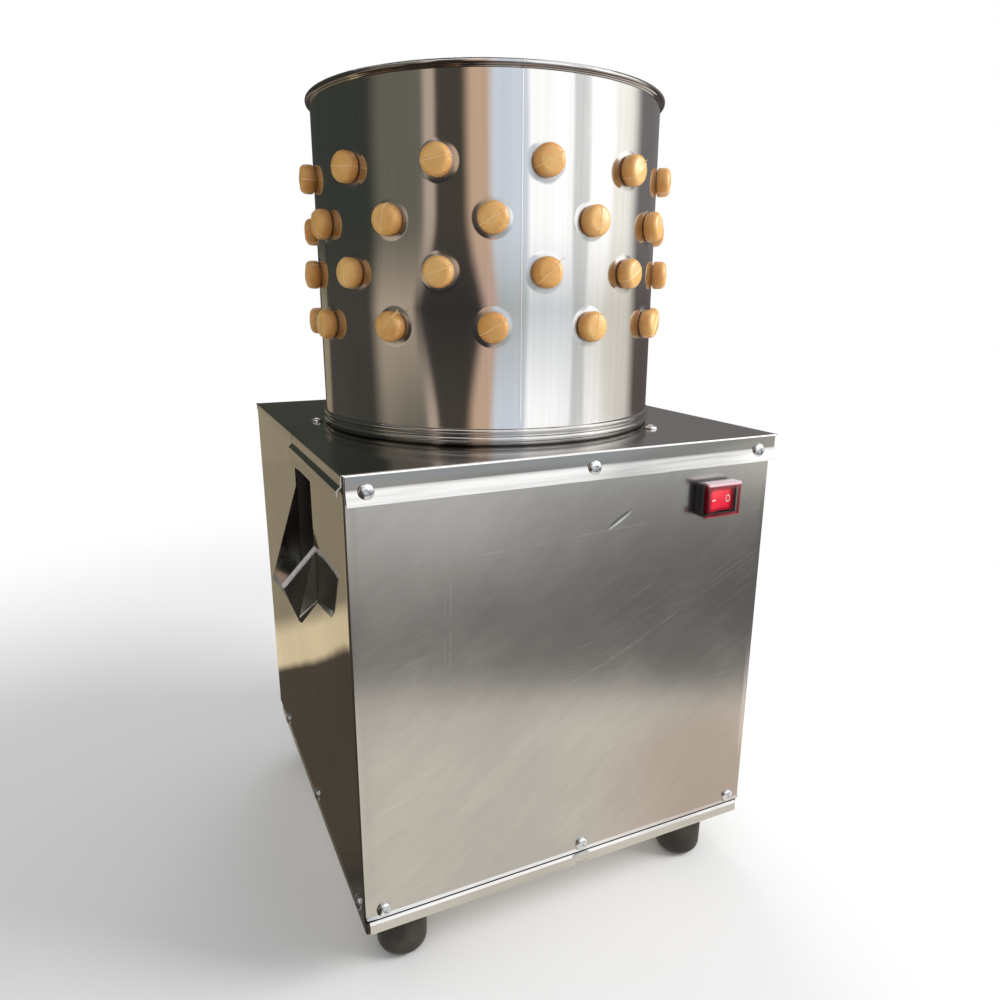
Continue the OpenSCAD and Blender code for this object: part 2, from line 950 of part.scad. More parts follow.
module bracket_rivets() {
    inside = drum_in - touch_gap - rivet_head_t;
    outside = drum_r + touch_gap + bracket_t;
    color(polished)
        at_brackets()
            translate([inside, 0, rivet_z])
                rotate([0, 90, 0]) {
                    cylinder(r = rivet_r, h = outside - inside + rivet_head_t);
                    cylinder(r = rivet_head_r, h = rivet_head_t);
                    translate([0, 0, outside - inside])
                        cylinder(r = rivet_head_r, h = rivet_head_t);
                }
}

module at_table_fingers() {
    ring(outer_ring_count, outer_ring_r)
        translate([0, 0, table_z])
            children();
    ring(inner_ring_count, inner_ring_r, inner_ring_turn)
        translate([0, 0, table_z])
            children();
}

module turntable_plate() {
    color(steel)
        difference() {
            post(table_r, table_z, table_t);
            post(shaft_r + run_fit, table_z - skin, far);
            at_table_fingers()
                cylinder(r = finger_hole_r, h = cut_len, center = true);
            ring(bolt_count, hub_bolt_ring, bolt_turn)
                post(hub_bolt_r + hole_fit, table_z - skin, far);
        }
}

module turntable_fingers() {
    color(amber)
        at_table_fingers()
            finger(table_grip);
}

// Key seats in the hub and the driven pulley, grown by the given clearance
module key_blocks(fit) {
    for (z = [[hub_z - 2 * key_inset, table_z - key_inset], [pulley_z + key_inset, pulley_top - key_inset]])
        block([shaft_r - key_sunk - fit, -key_w / 2 - fit, z[0] - fit],
            [shaft_r + key_proud + fit, key_w / 2 + fit, z[1] + fit]);
}

// Hub with a skirt that throws water clear of the bearing
module turntable_hub() {
    color(steel)
        difference() {
            union() {
                post(hub_r, hub_z, hub_t);
                post(hub_boss_r, housing_top, hub_z - housing_top + skin);
                tube(slinger_r + slinger_t, slinger_r, slinger_low, hub_z - slinger_low + skin);
            }
            post(shaft_r + seat_fit, housing_top - skin, far);
            key_blocks(seat_fit);
            ring(bolt_count, hub_bolt_ring, bolt_turn)
                post(hub_bolt_r + seat_fit, hub_z - skin, far);
        }
}

module hub_bolts() {
    color(polished)
        ring(bolt_count, hub_bolt_ring, bolt_turn)
            translate([0, 0, table_z + table_t])
                hex_bolt(hub_bolt_r, bolt_head_r, bolt_head_t, table_t + hub_t - hub_bolt_short);
}

module main_shaft() {
    low = pulley_z;
    shoulder_low = housing_z + bearing_w;
    color(steel)
        difference() {
            union() {
                post(shaft_r, low, table_z + table_t - run_fit - low);
                post(shoulder_r, shoulder_low, upper_bearing_z - shoulder_low);
                post(thread_r, low, shaft_top - low);
            }
            post(end_bolt_r + seat_fit, low - skin, end_bolt_depth + skin);
            key_blocks(seat_fit);
        }
}

module clamp_washer() {
    color(polished)
        tube(washer_r, thread_r + hole_fit, table_z + table_t, washer_t);
}

module shaft_nut() {
    color(polished)
        difference() {
            translate([0, 0, table_z + table_t + washer_t])
                cylinder(r = nut_flat_r, h = nut_t, $fn = 6);
            post(thread_r + seat_fit, table_z, far);
        }
}

module shaft_keys() {
    color(black)
        key_blocks(0);
}

module bearing_housing() {
    color("slategray")
        difference() {
            union() {
                post(housing_foot_r, housing_z, housing_foot_t);
                post(housing_r, housing_z, housing_h);
            }
            post(bearing_r - bore_step, housing_z - skin, far);
            post(bearing_r + seat_fit, housing_z - skin, bearing_w + skin);
            post(bearing_r + seat_fit, upper_bearing_z, far);
            ring(bolt_count, housing_bolt_ring, bolt_turn)
                post(housing_bolt_r + hole_fit, housing_z - skin, far);
        }
}

module housing_bolts() {
    color(polished)
        ring(bolt_count, housing_bolt_ring, bolt_turn)
            translate([0, 0, housing_z + housing_foot_t])
                hex_bolt(housing_bolt_r, bolt_head_r, bolt_head_t,
                    housing_foot_t + beam_t + housing_bolt_proud);
}

module at_bearings() {
    for (z = [housing_z, upper_bearing_z])
        translate([0, 0, z])
            children();
}

// Outer ring with the shields that cover the balls
module bearing_outer_rings() {
    shield_in = ring_in_r + move_gap;
    color(steel)
        at_bearings()
            rotate_extrude()
                difference() {
                    polygon([[shield_in, 0], [bearing_r, 0], [bearing_r, bearing_w], [shield_in, bearing_w],
                        [shield_in, bearing_w - shield_t], [ring_out_r, bearing_w - shield_t],
                        [ring_out_r, shield_t], [shield_in, shield_t]]);
                    translate([race_mid_r, bearing_w / 2])
                        circle(r = race_r);
                }
}

module bearing_inner_rings() {
    color(steel)
        at_bearings()
            rotate_extrude()
                difference() {
                    translate([shaft_r + seat_fit, 0])
                        square([ring_in_r - shaft_r - seat_fit, bearing_w]);
                    translate([race_mid_r, bearing_w / 2])
                        circle(r = race_r);
                }
}

module bearing_balls() {
    color(polished)
        at_bearings()
            ring(ball_count, race_mid_r)
                translate([0, 0, bearing_w / 2])
                    sphere(r = ball_r);
}

// Everything below the feather pan's floor, lowered by the given depth
module below_floor(depth) {
    translate([left_x, 0, chute_z - depth])
        rotate([0, -feather_slope, 0])
            translate([-far / 2, -far / 2, -far])
                cube(far);
}

// Pan under the turntable: round wall, sloping floor, collar round the housing, trough to the outlet
module feather_pan() {
    end_x = left_x + sheet;
    floor_t = skin / cos(feather_slope);
    color(steel)
        difference() {
            union() {
                tube(feather_r, feather_r - skin, chute_z, lid_under - chute_z);
                tube(feather_r + pan_flange, feather_r - skin, lid_under - skin, skin);
                difference() {
                    union() {
                        post(feather_r, chute_z - 2 * floor_t, lid_under - chute_z);
                        block([end_x, -chute_front, chute_z - 2 * floor_t], [0, chute_rear, lid_under]);
                    }
                    difference() {
                        translate([-far / 2, -far / 2, 0])
                            cube(far);
                        below_floor(0);
                    }
                }
                tube(pan_collar_r + skin, pan_collar_r, chute_z, pan_collar_top - chute_z);
                for (y = [-chute_front, chute_rear - skin])
                    block([end_x, y, chute_z], [-feather_r / 2, y + skin, chute_top]);
            }
            below_floor(floor_t);
            post(pan_collar_r, 0, far);
            intersection() {
                difference() {
                    block([-far, skin - chute_front, 0], [0, chute_rear - skin, chute_top - skin]);
                    below_floor(0);
                }
                tube(feather_r + skin, feather_r - 2 * skin, 0, far);
            }
            intersection() {
                for (y = [-chute_front - skin, chute_rear - skin])
                    block([-far, y, 0], [0, y + 2 * skin, far]);
                difference() {
                    post(feather_r - skin, 0, far);
                    below_floor(0);
                }
            }
        }
}

// Spout outside the left wall: floor, two cheeks, and a folded hem on the front cheek
module chute_spout() {
    top = chute_z + spout_high;
    end_x = left_x - spout_reach;
    end_z = top - spout_reach * spout_fall;
    lip_x = left_x - spout_floor;
    lip_z = chute_z - spout_floor_drop;
    rear_top = chute_z + spout_rear_high;
    floor_t = spout_t * floor_stretch;
    front = [[left_x, chute_z], [left_x, top], [end_x, end_z], [lip_x, lip_z]];
    rear = [[left_x, chute_z], [left_x, rear_top], [left_x - spout_rear_reach, chute_z + spout_rear_drop],
        [lip_x, lip_z]];
    hem_turn = atan2(top - end_z, spout_reach);
    hem_len = norm([spout_reach, top - end_z]);
    color(polished) {
        translate([0, spout_t - chute_front, 0])
            rotate([90, 0, 0])
                linear_extrude(spout_t)
                    polygon(front);
        translate([0, chute_rear, 0])
            rotate([90, 0, 0])
                linear_extrude(spout_t)
                    polygon(rear);
        translate([0, chute_rear, 0])
            rotate([90, 0, 0])
                linear_extrude(chute_w)
                    polygon([[left_x, chute_z], [left_x, chute_z - floor_t], [lip_x, lip_z - floor_t],
                        [lip_x, lip_z]]);
        difference() {
            translate([end_x, -chute_front, end_z])
                rotate([0, -hem_turn, 0])
                    translate([0, spout_t - hem_w, -hem_t])
                        cube([hem_len, hem_w, hem_t]);
            block([left_x, -far, 0], [far, far, far]);
        }
    }
}

// Belt section at the given belt radius, grown by fit
module belt_section(r, fit) {
    back = belt_w / 2 + fit;
    face = back - belt_t * belt_taper - fit * belt_taper;
    polygon([[r + belt_t / 2 + fit, -back], [r + belt_t / 2 + fit, back], [r - belt_t / 2 - fit, face],
        [r - belt_t / 2 - fit, -face]]);
}

// Groove cut that runs out past a pulley's rim
module pulley_groove(r) {
    back = belt_w / 2 + groove_fit;
    belt_section(r, groove_fit);
    translate([r + belt_t / 2, -back])
        square([2 * rim_over, 2 * back]);
}

module driven_pulley() {
    color("slategray")
        difference() {
            rotate_extrude()
                difference() {
                    union() {
                        translate([driven_r - rim_depth, pulley_z])
                            square([rim_depth + rim_over, pulley_w]);
                        translate([0, belt_mid - web_t / 2])
                            square([driven_r, web_t]);
                        translate([0, pulley_z])
                            square([driven_hub_r, pulley_w]);
                        translate([0, pulley_z])
                            square([hub_boss_r, housing_z - pulley_z]);
                    }
                    translate([0, belt_mid])
                        pulley_groove(driven_r);
                    square([shaft_r + seat_fit, far]);
                }
            key_blocks(seat_fit);
            ring(web_hole_count, (driven_r - rim_depth + driven_hub_r) / 2)
                post(web_hole_r, pulley_z, far);
        }
}

module pulley_bolt() {
    color(polished)
        translate([0, 0, pulley_z]) {
            translate([0, 0, -end_bolt_head_t])
                cylinder(r = end_bolt_head_r, h = end_bolt_head_t);
            translate([0, 0, -end_bolt_head_t - end_bolt_hex_t])
                cylinder(r = end_bolt_hex_r, h = end_bolt_hex_t + skin, $fn = 6);
            translate([0, 0, -skin])
                cylinder(r = end_bolt_r, h = end_bolt_depth);
        }
}

// Belt loop round both pulleys, standing just clear of the grooves
module drive_belt() {
    color("black")
        translate([0, 0, belt_mid])
            rotate([0, 0, drive_turn]) {
                rotate([0, 0, wrap_angle])
                    rotate_extrude(angle = 360 - 2 * wrap_angle)
                        belt_section(driven_r, 0);
                translate([drive_span, 0, 0])
                    rotate([0, 0, -wrap_angle])
                        rotate_extrude(angle = 2 * wrap_angle)
                            belt_section(driver_r, 0);
                for (side = [0, 1])
                    mirror([0, side, 0])
                        rotate([90, 0, wrap_angle])
                            linear_extrude(belt_run)
                                belt_section(driven_r, 0);
            }
}

module at_motor() {
    translate([motor_x, motor_y, 0])
        children();
}

module motor_pulley() {
    color("slategray")
        at_motor()
            rotate_extrude()
                difference() {
                    translate([0, pulley_z])
                        square([driver_r + rim_over, pulley_w]);
                    translate([0, belt_mid])
                        pulley_groove(driver_r);
                    square([motor_shaft_r + seat_fit, far]);
                }
}

module motor_shaft() {
    color(steel)
        at_motor()
            post(motor_shaft_r, motor_shaft_low, motor_shaft_top - motor_shaft_low);
}

module motor_rotor() {
    end_ring = 6;
    ring_inset = 4;
    ring_w = 8;
    ring_out = rotor_r - ring_inset;
    ring_in = ring_out - ring_w;
    color("slategray")
        at_motor() {
            tube(rotor_r, motor_shaft_r + seat_fit, stator_z, stator_len);
            tube(ring_out, ring_in, stator_z - end_ring, stator_len + 2 * end_ring);
        }
}

// Stator core with its end windings
module motor_stator() {
    coil_r = 7;
    coil_mid = (stator_r + rotor_r) / 2 + 1;
    color("peru")
        at_motor() {
            tube(stator_r, rotor_r + air_gap, stator_z, stator_len);
            for (z = [stator_z, stator_z + stator_len])
                translate([0, 0, z])
                    rotate_extrude()
                        translate([coil_mid, 0])
                            circle(r = coil_r);
        }
}

module motor_frame() {
    color("darkslategray")
        at_motor()
            difference() {
                union() {
                    post(motor_r, frame_low, motor_len);
                    for (i = [0 : fin_count - 1])
                        rotate([0, 0, i * 360 / fin_count])
                            block([motor_r - skin, -fin_t / 2, frame_low + fin_inset],
                                [motor_r + fin_h, fin_t / 2, frame_top - fin_inset]);
                }
                post(stator_r + seat_fit, frame_low - skin, far);
            }
}

module motor_bell(z, flat_up) {
    color("darkslategray")
        difference() {
            union() {
                post(motor_r, z, bell_t);
                post(stator_r - run_fit, flat_up ? z - spigot : z, bell_t + spigot);
            }
            post(motor_shaft_r + run_fit, z - far / 2, far);
            if (flat_up)
                ring(bolt_count, motor_bolt_ring)
                    post(motor_bolt_r + seat_fit, z, far);
        }
}

module upper_end_bell() {
    at_motor()
        motor_bell(frame_top, true);
}

module lower_end_bell() {
    at_motor()
        motor_bell(bell_low, false);
}

module motor_fan() {
    color("black")
        at_motor()
            difference() {
                union() {
                    post(fan_hub_r, fan_z, fan_t);
                    post(fan_r, fan_z + fan_t - fan_back_t, fan_back_t);
                    for (i = [0 : blade_count - 1])
                        rotate([0, 0, i * 360 / blade_count])
                            block([fan_hub_r - blade_t, -blade_t / 2, fan_z],
                                [fan_r - skin, blade_t / 2, fan_z + fan_t - skin]);
                }
                post(motor_shaft_r + seat_fit, fan_z - skin, far);
            }
}

// Cowl over the fan, with a grille of slots below
module fan_cowl() {
    color("darkslategray")
        at_motor()
            difference() {
                post(motor_r + cowl_t + seat_fit, cowl_low, frame_low + cowl_lap - cowl_low);
                post(motor_r + seat_fit, cowl_low + cowl_t, far);
                for (i = [-4 : 4]) {
                    half = sqrt(fan_r * fan_r - pow(i * grille_pitch, 2)) - 2 * skin;
                    slot_y = i * grille_pitch;
                    block([-half, slot_y - grille_slot / 2, cowl_low - skin],
                        [half, slot_y + grille_slot / 2, cowl_low + 2 * cowl_t]);
                }
            }
}

// Plate welded under the rear and right rails, with the motor hung below it
module motor_plate() {
    low_x = motor_x - motor_r - fin_h;
    low_y = motor_y - motor_r - fin_h;
    color(black)
        difference() {
            block([low_x, low_y, motor_plate_z], [in_right, in_rear, beam_z - angle_leg]);
            at_motor()
                post(bell_boss_r, motor_plate_z - skin, far);
            at_motor()
                ring(bolt_count, motor_bolt_ring)
                    post(motor_bolt_r + hole_fit, motor_plate_z - skin, far);
            block([in_right - angle_leg, in_rear - angle_leg, 0], [far, far, far]);
        }
}

module motor_bolts() {
    color(polished)
        at_motor()
            ring(bolt_count, motor_bolt_ring)
                translate([0, 0, beam_z - angle_leg])
                    hex_bolt(motor_bolt_r, motor_bolt_head_r, motor_bolt_head_t,
                        motor_plate_t + bell_t - motor_bolt_short);
}

// Box for the connections, seated on the frame's fins
module terminal_box() {
    wall = 2;
    color("darkslategray")
        difference() {
            block([motor_x - terminal_w / 2, terminal_y, terminal_z],
                [motor_x + terminal_w / 2, terminal_y + terminal_d, terminal_z + terminal_h]);
            block([motor_x - terminal_w / 2 + wall, terminal_y + wall, terminal_z + wall],
                [motor_x + terminal_w / 2 - wall, terminal_y + terminal_d - wall,
                    terminal_z + terminal_h - wall]);
        }
}

// Capacitor can in its saddle on the side of the motor
module run_capacitor() {
    x = motor_x - motor_r - fin_h - capacitor_r - touch_gap;
    z = frame_low + (motor_len - capacitor_h) / 2;
    color("gray")
        translate([x, motor_y, 0]) {
            post(capacitor_r, z, capacitor_h);
            post(capacitor_r - capacitor_cap, z, capacitor_h + capacitor_cap);
        }
}

// Frame of the switch with its rear box
module switch_housing() {
    front = front_y - switch_proud;
    back = front_y + switch_deep;
    color("black")
        translate([switch_x, 0, switch_z])
            difference() {
                union() {
                    block([-switch_w / 2, front, -switch_h / 2], [switch_w / 2, front_y, switch_h / 2]);
                    block([-box_w / 2, front, -box_h / 2], [box_w / 2, back, box_h / 2]);
                    for (x = [-tab_x, tab_x])
                        block([x - tab_w / 2, back - skin, -tab_t / 2],
                            [x + tab_w / 2, back + tab_len, tab_t / 2]);
                }
                block([-bay_w / 2, front - skin, -bay_h / 2], [bay_w / 2, front_y, bay_h / 2]);
                block([ledge - bay_w / 2, front, ledge - bay_h / 2],
                    [bay_w / 2 - ledge, back - ledge, bay_h / 2 - ledge]);
                translate([0, rocker_y, 0])
                    cylinder(r = rocker_pin_r + run_fit, h = rocker_h + 2 * (rocker_pin_len + move_gap),
                        center = true);
            }
}

// Rocker on its upright pin, tilted to its off side
module switch_rocker() {
    color("red")
        translate([switch_x, rocker_y, switch_z])
            rotate([0, 0, rocker_tilt]) {
                translate([0, 0, -rocker_h / 2])
                    linear_extrude(rocker_h)
                        polygon([[-rocker_w / 2, rocker_side], [-rocker_w / 2, -rocker_edge],
                            [0, rocker_dish - rocker_edge], [rocker_w / 2, -rocker_edge],
                            [rocker_w / 2, rocker_side], [rocker_heel, rocker_back],
                            [-rocker_heel, rocker_back]]);
                cylinder(r = rocker_pin_r, h = rocker_h + 2 * rocker_pin_len, center = true);
            }
}

// Clear boot stretched over the frame
module switch_boot() {
    front = front_y - switch_proud;
    w = switch_w / 2 + boot_t;
    h = switch_h / 2 + boot_t;
    color("lightblue")
        translate([switch_x, 0, switch_z])
            difference() {
                block([-w, front - boot_rise, -h], [w, front_y, h]);
                block([boot_t - w, front - boot_rise + boot_t, boot_t - h],
                    [w - boot_t, front_y + skin, h - boot_t]);
            }
}

module at_gland() {
    translate([gland_x, rear_y, gland_z])
        rotate([-90, 0, 0])
            children();
}

module cable_gland() {
    color("black")
        at_gland()
            difference() {
                union() {
                    cylinder(r = gland_hex_r, h = gland_hex_t, $fn = 6);
                    post(gland_thread_r, -sheet - gland_in, sheet + gland_in + skin);
                    post(gland_thread_r, 0, gland_hex_t + gland_out);
                }
                post(gland_bore_r, -far / 2, far);
            }
}

module gland_cap() {
    color("black")
        at_gland()
            difference() {
                post(gland_cap_r, gland_hex_t, gland_cap_t);
                post(gland_thread_r + seat_fit, gland_hex_t - skin, gland_out + skin + seat_fit);
                post(gland_bore_r + skin, 0, far);
            }
}

module gland_nut() {
    color("black")
        at_gland()
            difference() {
                translate([0, 0, -sheet - gland_nut_t])
                    cylinder(r = gland_hex_r, h = gland_nut_t, $fn = 6);
                post(gland_thread_r + seat_fit, -far / 2, far);
            }
}

// Point on a cubic curve
function curve(a, b, c, d, t) =
    pow(1 - t, 3) * a + 3 * t * pow(1 - t, 2) * b + 3 * t * t * (1 - t) * c + pow(t, 3) * d;

function unit(v) = v / norm(v);

// Direction of a path at point i
function along(path, i) = unit(path[min(i + 1, len(path) - 1)] - path[max(i - 1, 0)]);

// Points of one ring of a tube, square to the direction t
function tube_ring(p, t, r) =
    let (a = unit(cross(t, abs(t[2]) > 0.9 ? [1, 0, 0] : [0, 0, 1])), b = cross(t, a))
    [for (k = [0 : wire_sides - 1])
        let (turn = k * 360 / wire_sides)
        p + r * (cos(turn) * a + sin(turn) * b)];

// Tube swept along a path
module swept_tube(path, r) {
    last = len(path) - 1;
    n = wire_sides;
    rings = [for (i = [0 : last]) each tube_ring(path[i], along(path, i), r)];
    sides = [for (i = [0 : last - 1]) for (k = [0 : n - 1])
        let (m = (k + 1) % n, p = i * n)
        each [[p + k, p + n + k, p + m], [p + m, p + n + k, p + n + m]]];
    start = [for (k = [1 : n - 2]) [0, k, k + 1]];
    end = [for (k = [1 : n - 2]) [last * n, last * n + k + 1, last * n + k]];
    polyhedron(points = rings, faces = concat(sides, start, end));
}

// Lead from the switch down to the terminal box
module switch_lead() {
    stub = [0, lead_stub, 0];
    start = [switch_x, front_y + switch_deep, switch_z];
    end = [motor_x, terminal_y, terminal_z + terminal_h / 2];
    from = start + stub;
    to = end - stub;
    run = [for (i = [0 : lead_steps])
        curve(from, from + [0, lead_sweep / 2, -lead_sweep], to - [0, lead_sweep, 0], to, i / lead_steps)];
    color("black")
        swept_tube(concat([start], run, [end]), wire_r);
}

base_pan();
body_wrap();
rear_panel();
top_cover();
frame_posts();
top_rails();
mid_rails();
cross_beam();
rubber_feet();
foot_bolts();
lid_screws();
base_screws();
drum();
finger_row_1();
finger_row_2();
finger_row_3();
finger_row_4();
drum_brackets();
bracket_screws();
bracket_rivets();
turntable_plate();
turntable_fingers();
turntable_hub();
hub_bolts();
main_shaft();
clamp_washer();
shaft_nut();
shaft_keys();
bearing_housing();
housing_bolts();
bearing_outer_rings();
bearing_inner_rings();
bearing_balls();
feather_pan();
chute_spout();
driven_pulley();
pulley_bolt();
drive_belt();
motor_pulley();
motor_shaft();
motor_rotor();
motor_stator();
motor_frame();
upper_end_bell();
lower_end_bell();
motor_fan();
fan_cowl();
motor_plate();
motor_bolts();
terminal_box();
run_capacitor();
switch_housing();
switch_rocker();
switch_boot();
cable_gland();
gland_cap();
gland_nut();
switch_lead();
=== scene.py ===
import json
import math
import random

import bpy
from mathutils import Matrix, Vector


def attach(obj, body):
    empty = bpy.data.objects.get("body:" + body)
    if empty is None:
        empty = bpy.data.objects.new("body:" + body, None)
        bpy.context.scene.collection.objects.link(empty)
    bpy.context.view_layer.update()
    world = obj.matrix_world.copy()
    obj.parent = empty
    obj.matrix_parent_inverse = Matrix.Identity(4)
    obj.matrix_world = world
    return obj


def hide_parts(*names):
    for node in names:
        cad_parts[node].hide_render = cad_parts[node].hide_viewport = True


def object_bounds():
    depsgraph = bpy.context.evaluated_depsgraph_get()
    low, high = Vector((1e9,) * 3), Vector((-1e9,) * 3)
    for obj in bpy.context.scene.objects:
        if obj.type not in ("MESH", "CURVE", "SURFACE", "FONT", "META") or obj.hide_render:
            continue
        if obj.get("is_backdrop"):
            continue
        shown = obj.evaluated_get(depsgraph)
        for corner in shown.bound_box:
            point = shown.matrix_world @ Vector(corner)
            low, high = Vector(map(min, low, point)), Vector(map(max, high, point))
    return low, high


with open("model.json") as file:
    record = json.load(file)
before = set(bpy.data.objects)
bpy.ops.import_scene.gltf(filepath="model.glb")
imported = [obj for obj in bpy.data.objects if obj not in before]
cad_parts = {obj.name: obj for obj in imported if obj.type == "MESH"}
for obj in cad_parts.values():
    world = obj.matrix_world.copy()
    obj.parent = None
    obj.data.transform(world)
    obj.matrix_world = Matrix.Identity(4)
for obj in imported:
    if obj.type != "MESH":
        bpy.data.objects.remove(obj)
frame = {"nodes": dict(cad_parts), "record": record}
cadLow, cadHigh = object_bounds()
mm = 0.001
hair = 0.01  # places closer than this are the same, in millimetres
print("loaded", len(frame["nodes"]), "CAD nodes")


# modelling helpers, sizes in millimetres
def deselectAll():
    if bpy.context.mode != "OBJECT":
        bpy.ops.object.mode_set(mode="OBJECT")
    bpy.ops.object.select_all(action="DESELECT")


def makeActive(piece):
    deselectAll()
    piece.select_set(True)
    bpy.context.view_layer.objects.active = piece


def settle(name):  # new primitive: its place goes into its mesh
    piece = bpy.context.object
    piece.name = name
    bpy.ops.object.transform_apply(location=True, rotation=True, scale=True)
    return piece


def addBox(name, low, high):
    deselectAll()
    low, high = Vector(low), Vector(high)
    bpy.ops.mesh.primitive_cube_add(size=1, location=(low + high) / 2 * mm, scale=(high - low) * mm)
    return settle(name)


def addRod(name, radius, low, high, sides=48):  # along Z
    deselectAll()
    middle = (0, 0, (low + high) / 2 * mm)
    bpy.ops.mesh.primitive_cylinder_add(
        vertices=sides, radius=radius * mm, depth=(high - low) * mm, location=middle)
    return settle(name)


def addSheet(name, corners):  # one four-sided face through the corners
    deselectAll()
    bpy.ops.mesh.primitive_plane_add(size=mm)
    piece = settle(name)
    for vertex, corner in zip([piece.data.vertices[i] for i in (0, 1, 3, 2)], corners):
        vertex.co = Vector(corner) * mm
    return piece


def edit(piece, kind="VERT"):
    makeActive(piece)
    bpy.context.tool_settings.mesh_select_mode = (kind == "VERT", kind == "EDGE", kind == "FACE")
    bpy.ops.object.mode_set(mode="EDIT")


def leave():
    bpy.ops.object.mode_set(mode="OBJECT")


def pick(piece, kind, test):  # selects by place, then opens edit mode
    makeActive(piece)
    mesh = piece.data
    for group in (mesh.vertices, mesh.edges, mesh.polygons):
        group.foreach_set("select", [False] * len(group))
    places = [v.co / mm for v in mesh.vertices]
    for v in mesh.vertices if kind == "VERT" else ():
        v.select = bool(test(places[v.index]))
    for e in mesh.edges if kind == "EDGE" else ():
        e.select = bool(test(places[e.vertices[0]], places[e.vertices[1]]))
    for f in mesh.polygons if kind == "FACE" else ():
        f.select = bool(test(f.center / mm, f.normal))
    edit(piece, kind)


def at(value, place):
    return abs(value - place) < hair


def both(test):  # an edge counts when both its ends do
    return lambda a, b: test(a) and test(b)


def extrudeBy(x, y, z):
    bpy.ops.mesh.extrude_region_move(TRANSFORM_OT_translate={"value": Vector((x, y, z)) * mm})


def moveBy(x, y, z):
    bpy.ops.transform.translate(value=Vector((x, y, z)) * mm)


def shift(piece, test, x, y, z, kind="VERT"):
    pick(piece, kind, test)
    moveBy(x, y, z)
    leave()


def pull(piece, test, x, y, z):  # a new strip of sheet from an edge
    pick(piece, "EDGE", both(test))
    extrudeBy(x, y, z)
    leave()


def roundOff(piece, test, width, segments):
    pick(piece, "EDGE", test)
    bpy.ops.mesh.bevel(offset=width * mm, segments=segments, affect="EDGES")
    leave()


def openUp(piece, test):
    pick(piece, "FACE", test)
    bpy.ops.mesh.delete(type="FACE")
    leave()


def shrink(piece, test, share):
    pick(piece, "VERT", test)
    bpy.ops.transform.resize(value=share)
    leave()


def sliceAt(piece, axis, *places):  # new edge loops across the piece
    for place in places:
        edit(piece)
        bpy.ops.mesh.select_all(action="SELECT")
        normal = Vector([axis == letter for letter in "xyz"])
        bpy.ops.mesh.bisect(plane_co=normal * place * mm, plane_no=normal)
        leave()


def cleanUp(piece):
    edit(piece)
    bpy.ops.mesh.select_all(action="SELECT")
    bpy.ops.mesh.remove_doubles(threshold=2e-6)
    bpy.ops.mesh.normals_make_consistent(inside=False)
    leave()
    return piece


def modify(piece, kind, **settings):
    makeActive(piece)
    modifier = piece.modifiers.new(kind, kind)
    for key, value in settings.items():
        setattr(modifier, key, value)
    bpy.ops.object.modifier_apply(modifier=modifier.name)
    return piece


def thicken(piece, thickness):  # inwards from the outer face
    return modify(piece, "SOLIDIFY", thickness=thickness * mm, offset=-1, use_even_offset=True)


def softEdges(piece, width, segments=2, angle=40):
    return modify(
        piece, "BEVEL", width=width * mm, segments=segments, limit_method="ANGLE",
        angle_limit=math.radians(angle))


def cutAway(piece, *tools):
    for tool in tools:
        modify(piece, "BOOLEAN", operation="DIFFERENCE", solver="EXACT", object=tool)
        bpy.data.objects.remove(tool)
    return piece


def lathe(name, outline, steps=96):  # outline of (radius, height), spun round Z
    deselectAll()
    bpy.ops.mesh.primitive_plane_add(size=mm)
    piece = settle(name)
    edit(piece)
    bpy.ops.mesh.select_all(action="SELECT")
    bpy.ops.mesh.merge(type="CENTER")
    (r0, z0), *rest = outline
    moveBy(r0, 0, z0)
    for r, z in rest:
        extrudeBy(r - r0, 0, z - z0)
        r0, z0 = r, z
    bpy.ops.mesh.select_all(action="SELECT")
    bpy.ops.mesh.spin(steps=steps, angle=math.tau, center=(0, 0, 0), axis=(0, 0, 1))
    leave()
    return cleanUp(piece)


def arc(r, z, radius, start, end, steps):
    turns = [math.radians(start + (end - start) * i / steps) for i in range(steps + 1)]
    return [(r + radius * math.cos(t), z + radius * math.sin(t)) for t in turns]


def turned(axis, degrees):
    return Matrix.Rotation(math.radians(degrees), 4, axis)


def moved(x, y, z):
    return Matrix.Translation(Vector((x, y, z)) * mm)


def copyTo(piece, place):  # own mesh, place in its vertices
    other = piece.copy()
    other.data = piece.data.copy()
    other.data.transform(place)
    bpy.context.scene.collection.objects.link(other)
    return other


def spread(piece, places):  # copies take the place of the piece
    copies = [copyTo(piece, place) for place in places]
    bpy.data.objects.remove(piece)
    return copies


def joinAll(name, pieces):
    deselectAll()
    for piece in pieces:
        piece.select_set(True)
    bpy.context.view_layer.objects.active = pieces[0]
    bpy.ops.object.join()
    pieces[0].name = name
    return pieces[0]


def mark(piece, name, worth):  # a value at every point, for the finish
    values = piece.data.attributes.new(name, "FLOAT", "POINT").data
    for vertex, value in zip(piece.data.vertices, values):
        value.value = float(worth(vertex.co / mm))


def fit(piece, body, slot, finish, *nodes, smooth=35):
    makeActive(piece)
    bpy.ops.object.shade_smooth_by_angle(angle=math.radians(smooth))
    piece.data.materials.clear()
    piece.data.materials.append(finish)
    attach(piece, body)
    if nodes:
        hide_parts(*nodes)
    return piece


